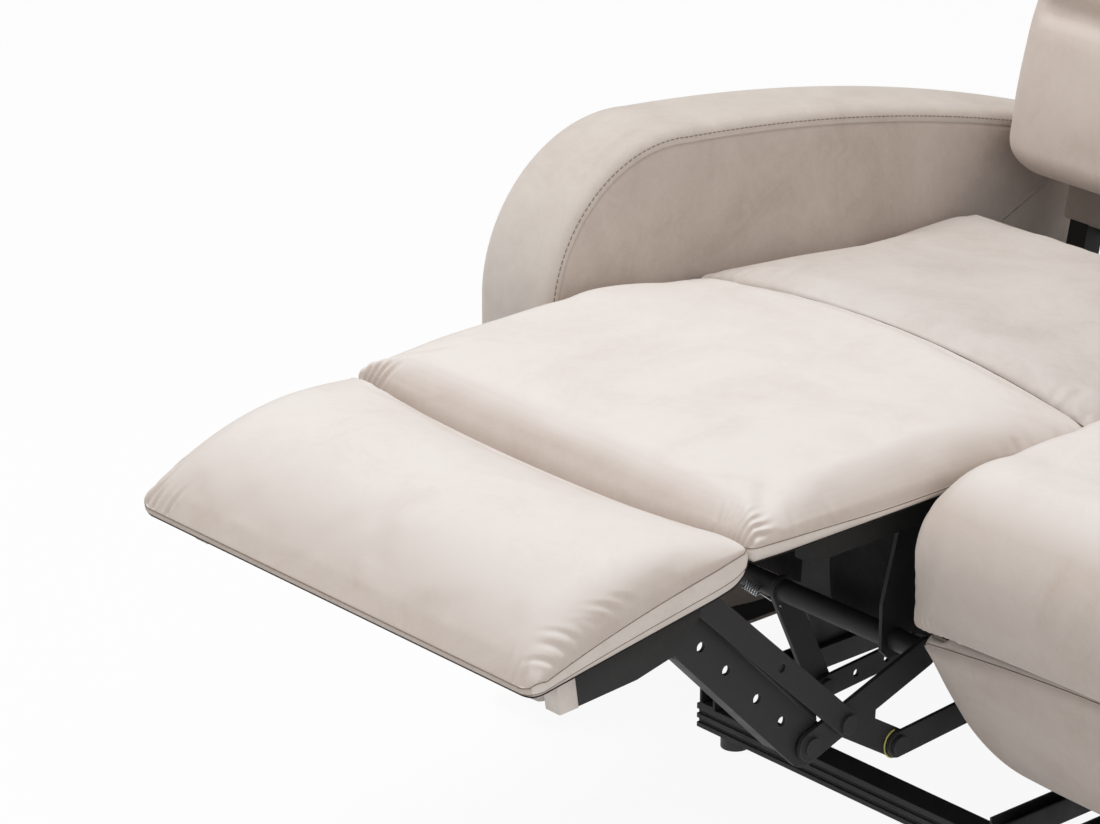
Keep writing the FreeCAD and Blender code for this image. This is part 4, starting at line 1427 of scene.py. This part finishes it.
@dataclass
class Arms:
    """The two padded arms: a band over front and top, sewn to an inner and an outer panel."""

    datum: Datum
    finishes: Finishes
    thick: float = 105.0
    bottom: float = 30.0
    back: float = 800.0
    shoulder_z: float = 440.0
    shoulder: Point2 = (48.0, 560.0)
    peak: Point2 = (190.0, 606.0)
    slope: Point2 = (470.0, 566.0)
    rear_z: float = 474.0
    # How many points the outline has along the front, the shoulder, the top, the rear and the bottom
    counts: tuple[int, ...] = (50, 52, 74, 44, 70)
    edge: float = 12.0
    band_puff: float = 1.8
    seam_in: float = 16.0
    # The groove of the seam and the panel's rise beside it: steps inwards from the seam and outwards
    groove: tuple[Point2, ...] = ((-1.2, -0.1), (0.0, -2.0), (1.2, -0.4), (5.0, 0.4), (14.0, 1.0))
    # The ring at the outer lip of that groove, where the band ends and the panel starts
    lip_ring: int = 17
    panel_shares: tuple[float, ...] = (0.06, 0.14, 0.24, 0.36, 0.5, 0.64, 0.78, 0.9)
    panel_middle: Point2 = (400.0, 300.0)
    stitch: Point2 = (4.2, 6.4)
    stitch_in: float = 9.0
    lining: tuple[float, float, float, float] = (25.0, 680.0, 40.0, 440.0)

    @property
    def middle(self) -> float:
        """Middle plane of the left arm."""
        return -self.datum.bay - self.thick / 2

    @staticmethod
    def arc(start: Point2, through: Point2, end: Point2, count: int) -> Array:
        """Draw the circle through three side-view points.

        Args:
            start, through, end: the three points, clockwise.
            count: how many points to give.

        Returns:
            Points from the start on, without the end.
        """
        (ax, ay), (bx, by), (cx, cy) = start, through, end
        d = 2 * (ax * (by - cy) + bx * (cy - ay) + cx * (ay - by))
        squares = [p[0] ** 2 + p[1] ** 2 for p in (start, through, end)]
        ux = (squares[0] * (by - cy) + squares[1] * (cy - ay) + squares[2] * (ay - by)) / d
        uy = (squares[0] * (cx - bx) + squares[1] * (ax - cx) + squares[2] * (bx - ax)) / d
        first, last = math.atan2(ay - uy, ax - ux), math.atan2(cy - uy, cx - ux)
        if last > first:
            last -= 2 * math.pi
        angles = first + (last - first) * np.arange(count) / count
        radius = math.hypot(ax - ux, ay - uy)
        return np.column_stack((ux + radius * np.cos(angles), uy + radius * np.sin(angles)))

    def outline(self) -> Array:
        """Draw the arm's side view.

        Returns:
            A closed outline, from the foot of the front round to the foot of the back.
        """

        def run(start: Point2, end: Point2, count: int) -> Array:
            """Points on a straight line, without the last."""
            return np.array(start) + (np.array(end) - np.array(start)) * (np.arange(count)[:, None] / count)

        front, rear = (0.0, self.bottom), (self.back, self.bottom)
        front_top, rear_top = (0.0, self.shoulder_z), (self.back, self.rear_z)
        up, round_over, over, down, under = self.counts
        return np.vstack((run(front, front_top, up),
                          self.arc(front_top, self.shoulder, self.peak, round_over),
                          self.arc(self.peak, self.slope, rear_top, over),
                          run(rear_top, rear, down), run(rear, front, under)))

    def inset(self, line: Array, amount: float) -> Array:
        """Move the outline inwards along its normals, with its points gathered at the sharp corners.

        Args:
            line: what outline() gives.
            amount: how far, in millimetres.

        Returns:
            As many points, in the same order.
        """
        gather = 0.98
        ahead = np.roll(line, -1, 0) - np.roll(line, 1, 0)
        ahead /= np.linalg.norm(ahead, axis=1, keepdims=True)
        y, z = (line + np.column_stack((ahead[:, 1], -ahead[:, 0])) * amount).T
        if amount > 0:
            starts = np.cumsum(self.counts)
            top, rear = slice(starts[1], starts[2]), slice(starts[2], starts[3])
            y = y + gather * np.clip(amount - y, 0, None) - gather * np.clip(y - self.back + amount, 0, None)
            z = z + gather * np.clip(self.bottom + amount - z, 0, None)
            z[rear] -= gather * np.clip(z[rear] - z[top].min(), 0, None)
        return np.column_stack((y, z))

    def rows(self, line: Array) -> list[tuple[Array, float]]:
        """Rings of the arm's skin from the middle of the band to the middle of a panel.

        Args:
            line: the outline.

        Returns:
            Side-view rings, each with its distance from the arm's middle plane.
        """
        half, steps = self.thick / 2, 8
        rings = []
        for x in np.linspace(0, half - self.edge, steps + 1):
            rings.append((self.inset(line, -self.band_puff * math.cos(x / half * math.pi / 2)), x))
        for step in range(1, steps):
            angle = step / steps * math.pi / 2
            deep = self.edge * (1 - math.cos(angle))
            rings.append((self.inset(line, deep), half - self.edge * (1 - math.sin(angle))))
        rings.append((self.inset(line, self.edge), half))
        for inward, outward in self.groove:
            rings.append((self.inset(line, self.seam_in + inward), half + outward))
        base, centre = rings[-1][0], np.array(self.panel_middle)
        for share in self.panel_shares:
            outward = half + 1.2 + 0.8 * math.sin(share * math.pi)
            rings.append((centre + (base - centre) * (1 - share), outward))
        return rings

    def skin(self) -> Piece:
        """Make the whole cover of the left arm.

        Returns:
            The cover, with the band as its first finish and both panels as its second.
        """
        line = self.outline()
        count = len(line)
        half_rows = self.rows(line)
        rows = [(ring, -out) for ring, out in reversed(half_rows[1:])] + half_rows
        points = np.vstack([np.column_stack((np.full(count, self.middle + out), ring)) for ring, out in rows])
        faces = ring_faces(len(rows), count)
        last, panel_rows = len(rows) - 1, len(half_rows) - self.lip_ring - 1
        slots = [int(min(r, last - 1 - r) < panel_rows) for r in range(last) for _ in range(count)]
        for row, flip in ((0, False), (last, True)):
            hub = len(points)
            points = np.vstack((points, points[row * count:(row + 1) * count].mean(0)))
            for i in range(count):
                corner = (row * count + i, hub, row * count + (i + 1) % count)
                faces.append(tuple(reversed(corner)) if flip else corner)
                slots.append(1)
        # The panels take the darker velvet, painted shade of the arm's sides.
        finishes = [self.finishes.band, self.finishes.against]
        return Piece("left_arm_velvet", points, faces, finishes, slots, subdivide=0)

    def stitches(self) -> Piece:
        """Sew rows of thread along the band, beside the seams of both panels.

        Returns:
            All stitches of the left arm as one piece.
        """
        length, pitch = self.stitch
        first, sunk, bow = 4.0, 0.25, 0.5
        path = self.inset(self.outline(), self.stitch_in)[:sum(self.counts[:3])]
        run = np.concatenate(([0.0], np.cumsum(np.linalg.norm(np.diff(path, axis=0), axis=1))))
        points, faces, base = [], [], 0
        for sign in (-1, 1):
            x = self.middle + sign * (self.thick / 2 - sunk)
            for start in np.arange(first, run[-1] - length, pitch):
                ends = [np.array([np.interp(start + s, run, path[:, k]) for k in (0, 1)])
                        for s in (0, length)]
                line = np.array([[x, *(ends[0] + (ends[1] - ends[0]) * t)] for t in (0, 0.5, 1)])
                line[1, 0] += sign * bow
                thread = tube("thread", line, 0.55, self.finishes.thread, sides=5)
                points.append(thread.points)
                faces += [tuple(base + i for i in f) for f in thread.faces]
                base += len(thread.points)
        return Piece("left_arm_stitches", np.vstack(points), faces, [self.finishes.thread], subdivide=0)

    def lining_sheet(self) -> Piece:
        """Staple the black cloth to the lower part of the inner face, a little slack.

        Returns:
            The left lining.
        """
        y0, y1, z0, z1 = self.lining

        def depth(a: Array, b: Array) -> Array:
            """Shallow waves that die out at the stapled edges."""
            waves = 1.2 * np.sin(a * 23 + 2 * b) * np.sin(b * 9) * np.sin(a * math.pi) * np.sin(b * math.pi)
            return -self.datum.bay + 1.0 + waves

        return cloth_panel("left_arm_cloth", (y0, y1), (z0, z1), depth, self.finishes.lining, facing_x=True)

    def build(self) -> None:
        """Make both arms and ride them on the base."""
        parts = ((self.skin(), "velvet", "arm_cover"), (self.stitches(), "velvet", None),
                 (self.lining_sheet(), "black_cloth", "arm_lining"))
        for piece, slot, node in parts:
            for side, part in piece.both():
                made = part.dress(self.datum, slot)
                if node:
                    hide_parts(f"{side.value}_{node}")
                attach(made, "base")


@dataclass
class Underside:
    """The cloth aprons, footrest strips, link rims, small springs and grease under the seats.

    The slit and the fields that end in _d count from a seat's middle plane, and the outlines of the
    strip and its wrap from the footrest hinge.
    """

    datum: Datum
    finishes: Finishes
    rail_y: float = 70.0
    half: float = 258.0
    top: float = 403.0
    low: float = 245.0
    slit: Point2 = (12.0, 59.0)
    slit_top: float = 350.0
    slit_share: float = 0.92
    strip: tuple[Point2, ...] = ((-217.0, -1.0), (-217.0, -42.0), (-196.0, -44.0), (-128.0, -50.0),
                                 (-74.0, -46.0), (-46.0, -20.0), (-46.0, -1.0))
    wrap: tuple[Point2, ...] = ((-217.0, -1.0), (-217.0, -42.0), (-196.0, -44.0), (-196.0, -1.0))
    wrap_cloth: float = 0.8
    strip_d: Point2 = (238.0, 257.0)
    grease_d: float = 225.0
    grease_r: float = 14.2
    drive_pin: Point2 = (-12.0, 174.0)
    crank_pivot: Point2 = (28.0, 254.0)
    crank_turn: float = 102.41
    link_ends: tuple[Point2, Point2] = ((-120.0, 204.0), (-306.4, 396.0))
    link_turn: float = -98.02
    rim_d: Point2 = (212.5, 216.5)
    rim_span: Point2 = (0.02, 0.86)
    rim_reach: Point2 = (20.5, 30.0)
    spring_ends: tuple[Point3, Point3] = ((-282.0, 6.0, 257.0), (-250.0, 24.0, 238.0))
    spring_turns: int = 6
    spring_r: float = 4.6
    coil_share: float = 0.36

    def apron(self) -> Piece:
        """Hang the cloth with shallow folds and the slit for the middle arm.

        Returns:
            The left apron.
        """
        seat_x = self.datum.seat_x

        def depth(a: Array, b: Array) -> Array:
            """Folds that deepen towards the free lower edge."""
            fold = 5.0 * np.sin(a * 19 + 0.7) + 3.0 * np.sin(a * 41 + b * 5)
            return -(self.rail_y - 6) + fold * (1 - b) ** 0.7

        piece = cloth_panel("left_apron_cloth", (seat_x - self.half, seat_x + self.half),
                            (self.low, self.top), depth, self.finishes.lining,
                            facing_x=False, cells=(129, 40))
        centre = np.array([piece.points[list(f)].mean(0) for f in piece.faces])
        across = centre[:, 0] - seat_x
        cut = (across > self.slit[0]) & (across < self.slit[1]) & (centre[:, 2] < self.slit_top)
        piece.faces = [f for f, gone in zip(piece.faces, cut) if not gone]
        return piece

    def pair(self, kind: str, outline: Array, reach: Point2, finish: Material) -> list[Piece]:
        """Cut one strip for each side of the left seat.

        Args:
            kind: the piece's name between its seat and its side.
            outline: side-view corners.
            reach: both faces, from the seat's middle plane.
            finish: their material.

        Returns:
            The far strip and the near strip.
        """
        found = []
        for sign, place in ((-1, "far"), (1, "near")):
            low, high = sorted(self.datum.seat_x + sign * d for d in reach)
            found.append(slab(f"left_{kind}_{place}", outline, low, high, finish))
        return found

    def under_rails(self) -> list[Piece]:
        """Cut the strips under both sides of the footrest, with velvet wrapped round their front ends.

        Returns:
            Two strips and two wraps, tilted with the footrest.
        """
        hinge, cloth = np.array(self.datum.foot_hinge), self.wrap_cloth
        inner, outer = self.strip_d
        strips = self.pair("footrest_strip", np.array(self.strip) + hinge, self.strip_d, self.finishes.ebony)
        wraps = self.pair("footrest_wrap", np.array(self.wrap) - cloth + hinge,
                          (inner - cloth, outer + cloth), self.finishes.boxing)
        found = [strips[0], wraps[0], strips[1], wraps[1]]
        for piece in found:
            piece.points = turned(piece.points, self.datum.foot_hinge, self.datum.foot_tilt)
        return found

    def link_rims(self) -> list[Piece]:
        """Fold the upper rims of the wide links, which stand a little proud of their webs.

        Returns:
            The far rim and the near rim.
        """
        bevel, bevel_share = 6, 0.03
        start, end = (np.array(p) for p in self.link_ends)
        length = np.linalg.norm(end - start)
        along = (end - start) / length
        up = np.array((along[1], -along[0]))
        (first, last), (low, high) = self.rim_span, self.rim_reach
        corners = ((first, low), (last, low), (last, high - bevel), (last - bevel_share, high),
                   (first + bevel_share, high), (first, high - bevel))
        outline = np.array([start + along * length * share + up * reach for share, reach in corners])
        return self.pair("link_rim", outline, self.rim_d, self.finishes.steel)

    def grease(self) -> list[Piece]:
        """Squeeze grease out round the drive pins, between lever and link.

        Returns:
            The far bead and the near bead.
        """
        steps = 15
        angles = np.radians(np.linspace(95, 265, steps))
        (y, z), r = self.drive_pin, self.grease_r
        found = []
        for sign, place in ((-1, "far"), (1, "near")):
            x = np.full(steps, self.datum.seat_x + sign * self.grease_d)
            line = np.column_stack((x, y + r * np.cos(angles), z + r * np.sin(angles)))
            found.append(tube(f"left_grease_{place}", line, 0.9, self.finishes.grease, sides=8))
        return found

    def spring(self) -> Piece:
        """Wind the small tension spring hooked over the middle arm, with its straight end wire.

        Returns:
            The left spring.
        """
        share = np.linspace(0, 1, 14 * self.spring_turns)[:, None]
        start, end = (np.array(p) for p in self.spring_ends)
        axis = (end - start) / np.linalg.norm(end - start)
        side = np.cross(axis, (1.0, 0.0, 0.0))
        side /= np.linalg.norm(side)
        other = np.cross(axis, side)
        angle = share * self.spring_turns * 2 * math.pi
        turns = self.spring_r * (np.cos(angle) * side + np.sin(angle) * other)
        coil = start + (end - start) * share * self.coil_share + turns
        hook = np.array([start + (end - start) * t for t in (0.42, 0.6, 0.8, 1.0)])
        return tube("left_spring", np.vstack((coil, hook)), 0.75, self.finishes.zinc)

    def shut_crank(self, points: Array) -> Array:
        """Points on the crank, carried to the shut pose."""
        return self.datum.shut_carriage(turned(points, self.crank_pivot, self.crank_turn))

    def shut_link(self, points: Array) -> Array:
        """Points on the wide link, carried to the shut pose."""
        return self.shut_crank(turned(points, self.link_ends[0], self.link_turn))

    def build(self) -> None:
        """Make the small parts and the aprons of both seats and ride them on their bodies."""
        plan = [(piece, "footrest", self.datum.shut_footrest) for piece in self.under_rails()]
        plan += [(piece, "crank", self.shut_crank) for piece in self.grease() + [self.spring()]]
        plan += [(piece, "front_link", self.shut_link) for piece in self.link_rims()]
        for piece, body, shut in plan:
            for side, part in piece.both(shut):
                made = part.dress(self.datum, "velvet" if "wrap" in part.name else "black_steel")
                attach(made, f"{side.value}_{body}")
        for side, part in self.apron().both(self.datum.shut_carriage):
            made = part.dress(self.datum, "black_cloth")
            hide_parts(f"{side.value}_apron")
            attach(made, f"{side.value}_carriage")


@dataclass
class RearCover:
    """The velvet-covered board across the back of the base."""

    datum: Datum
    finishes: Finishes
    edge: float = 10.0
    sunk: float = 4.0
    puff: float = 6.0

    def build(self) -> None:
        """Make the padded board and ride it on the base."""
        low, high = (np.array(corner) / MM - (0, self.datum.shift, 0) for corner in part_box("rear_board"))
        unit, faces, _ = Lattice(90, 4, 30).build()
        middle, half = (low + high) / 2, (high - low) / 2
        edge = np.minimum(half[0] * (1 - np.abs(unit[:, 0])), half[2] * (1 - np.abs(unit[:, 2])))
        points = middle + unit * half
        thick = half[1] - self.sunk + self.puff * domed(1 - edge / self.edge)
        points[:, 1] = middle[1] + unit[:, 1] * thick
        piece = Piece("rear_board_cover", points, faces, [self.finishes.against])
        made = piece.dress(self.datum, "velvet_panel")
        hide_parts("rear_board")
        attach(made, "base")


@dataclass
class Metalwork:
    """The carried-over solids and their finishes."""

    frame: dict
    finishes: Finishes

    def build(self) -> None:
        """Give each solid the finish of its slot."""
        made_of = self.finishes
        by_slot = {"black_steel": made_of.steel, "plywood": made_of.ebony, "webbing": made_of.webbing,
                   "black_plastic": made_of.nylon, "satin_plastic": made_of.lever, "velvet": made_of.velvet,
                   "velvet_panel": made_of.against, "black_cloth": made_of.lining}
        for part in self.frame["record"]["subparts"]:
            solid = self.frame["nodes"][part["node"]]
            solid.data.materials.clear()
            solid.data.materials.append(by_slot[part["material_slot"]])


@dataclass(frozen=True)
class SoftBox:
    """A square soft box, in metres and watts."""

    name: str
    place: Point3
    aim: Point3
    size: float
    power: float

    def build(self) -> None:
        """Hang the lamp."""
        light = bpy.data.lights.new(self.name, "AREA")
        light.size = self.size
        light.energy = self.power
        made = bpy.data.objects.new(self.name, light)
        turn = (Vector(self.aim) - Vector(self.place)).to_track_quat("-Z", "Y")
        made.matrix_world = Matrix.Translation(self.place) @ turn.to_matrix().to_4x4()
        bpy.context.scene.collection.objects.link(made)


@dataclass
class Studio:
    """Camera, floor and soft light."""

    datum: Datum
    focal_px: float = 5000.0
    width_px: float = 1100.0
    sensor: float = 36.0
    stand: Point3 = (2897.87, -3044.93, 2203.89)
    yaw: float = 0.84871
    pitch: float = 0.38204
    floor_half: float = 30.0
    floor_glow: float = 0.93
    sky_light: float = 0.46
    lamps: tuple[SoftBox, ...] = (SoftBox("key_light", (-1.2, -0.8, 4.0), (-0.2, -0.2, 0.4), 2.6, 84.0),
                                  SoftBox("fill_light", (3.4, -0.9, 1.7), (-0.3, 0.0, 0.4), 2.6, 20.0))

    def camera(self) -> None:
        """Stand the camera where the photograph was taken from."""
        lens = bpy.data.cameras.new("camera")
        lens.sensor_width = self.sensor
        lens.lens = self.focal_px / self.width_px * self.sensor
        lens.clip_end = 60
        made = bpy.data.objects.new("camera", lens)
        ahead = Vector((-math.sin(self.yaw) * math.cos(self.pitch), math.cos(self.yaw) * math.cos(self.pitch),
                        -math.sin(self.pitch)))
        turn = ahead.to_track_quat("-Z", "Y").to_matrix().to_4x4()
        made.matrix_world = Matrix.Translation(self.datum.row_point(*self.stand)) @ turn
        bpy.context.scene.collection.objects.link(made)
        bpy.context.scene.camera = made

    @staticmethod
    def shown(tree: Tree) -> Socket:
        """Tell the rays that show the surround from those that light the sofa.

        Args:
            tree: the node tree of the floor or the world.

        Returns:
            1 for what is seen, also in gloss or through glass, and 0 for the rest.
        """
        rays = add_node(tree, "LightPath").outputs
        seen = rays["Is Camera Ray"]
        for kind in ("Is Glossy Ray", "Is Transmission Ray"):
            seen = add_node(tree, "Math", {0: seen, 1: rays[kind]}, operation="MAXIMUM").outputs[0]
        return seen

    def floor(self) -> None:
        """Lay a pale floor that turns white for the camera and keeps a faint shadow."""
        size = self.floor_half
        mesh = bpy.data.meshes.new("floor")
        mesh.from_pydata([(-size, -size, 0), (size, -size, 0), (size, size, 0), (-size, size, 0)], [],
                         [(0, 1, 2, 3)])
        made = bpy.data.objects.new("floor", mesh)
        bpy.context.scene.collection.objects.link(made)
        material, tree, shader, _ = new_material("white_studio_floor")
        wire(tree, shader, {"Base Color": to_linear("F4F4F4"), "Roughness": 0.9,
                            "Specular IOR Level": 0.0})
        share = add_node(tree, "Math", {0: self.shown(tree), 1: self.floor_glow}, operation="MULTIPLY")
        glow = add_node(tree, "Emission", {"Color": (1, 1, 1, 1), "Strength": 1.0})
        mix = add_node(tree, "MixShader", {0: share.outputs[0], 1: shader.outputs[0], 2: glow.outputs[0]})
        wire(tree, tree.nodes["Material Output"], {"Surface": mix.outputs[0]})
        mesh.materials.append(material)

    def sky(self) -> None:
        """Set an even white surround, dimmer for what it lights than for what it shows."""
        world = bpy.data.worlds.new("studio")
        bpy.context.scene.world = world
        world.use_nodes = True
        tree = world.node_tree
        power = add_node(tree, "MapRange", {"Value": self.shown(tree), "To Min": self.sky_light,
                                            "To Max": 1.0})
        wire(tree, tree.nodes["Background"], {"Strength": power.outputs[0], "Color": (1, 1, 1, 1)})

    def build(self) -> None:
        """Set the whole studio up."""
        self.camera()
        self.floor()
        self.sky()
        for lamp in self.lamps:
            lamp.build()
        bpy.context.scene.view_settings.view_transform = "Standard"


def main() -> None:
    """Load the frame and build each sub-assembly in order."""
    logging.basicConfig(level=logging.INFO, format="%(name)s: %(message)s")
    for item in list(bpy.data.objects):
        bpy.data.objects.remove(item)
    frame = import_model()
    datum = Datum.read(frame)
    finishes = Finishes()
    for part in (Metalwork(frame, finishes), SeatPads(datum, finishes), Backs(datum, finishes),
                 Arms(datum, finishes), Underside(datum, finishes), RearCover(datum, finishes),
                 Studio(datum)):
        part.build()
        LOG.info("%s done", type(part).__name__)


if __name__ == "__main__":
    main()
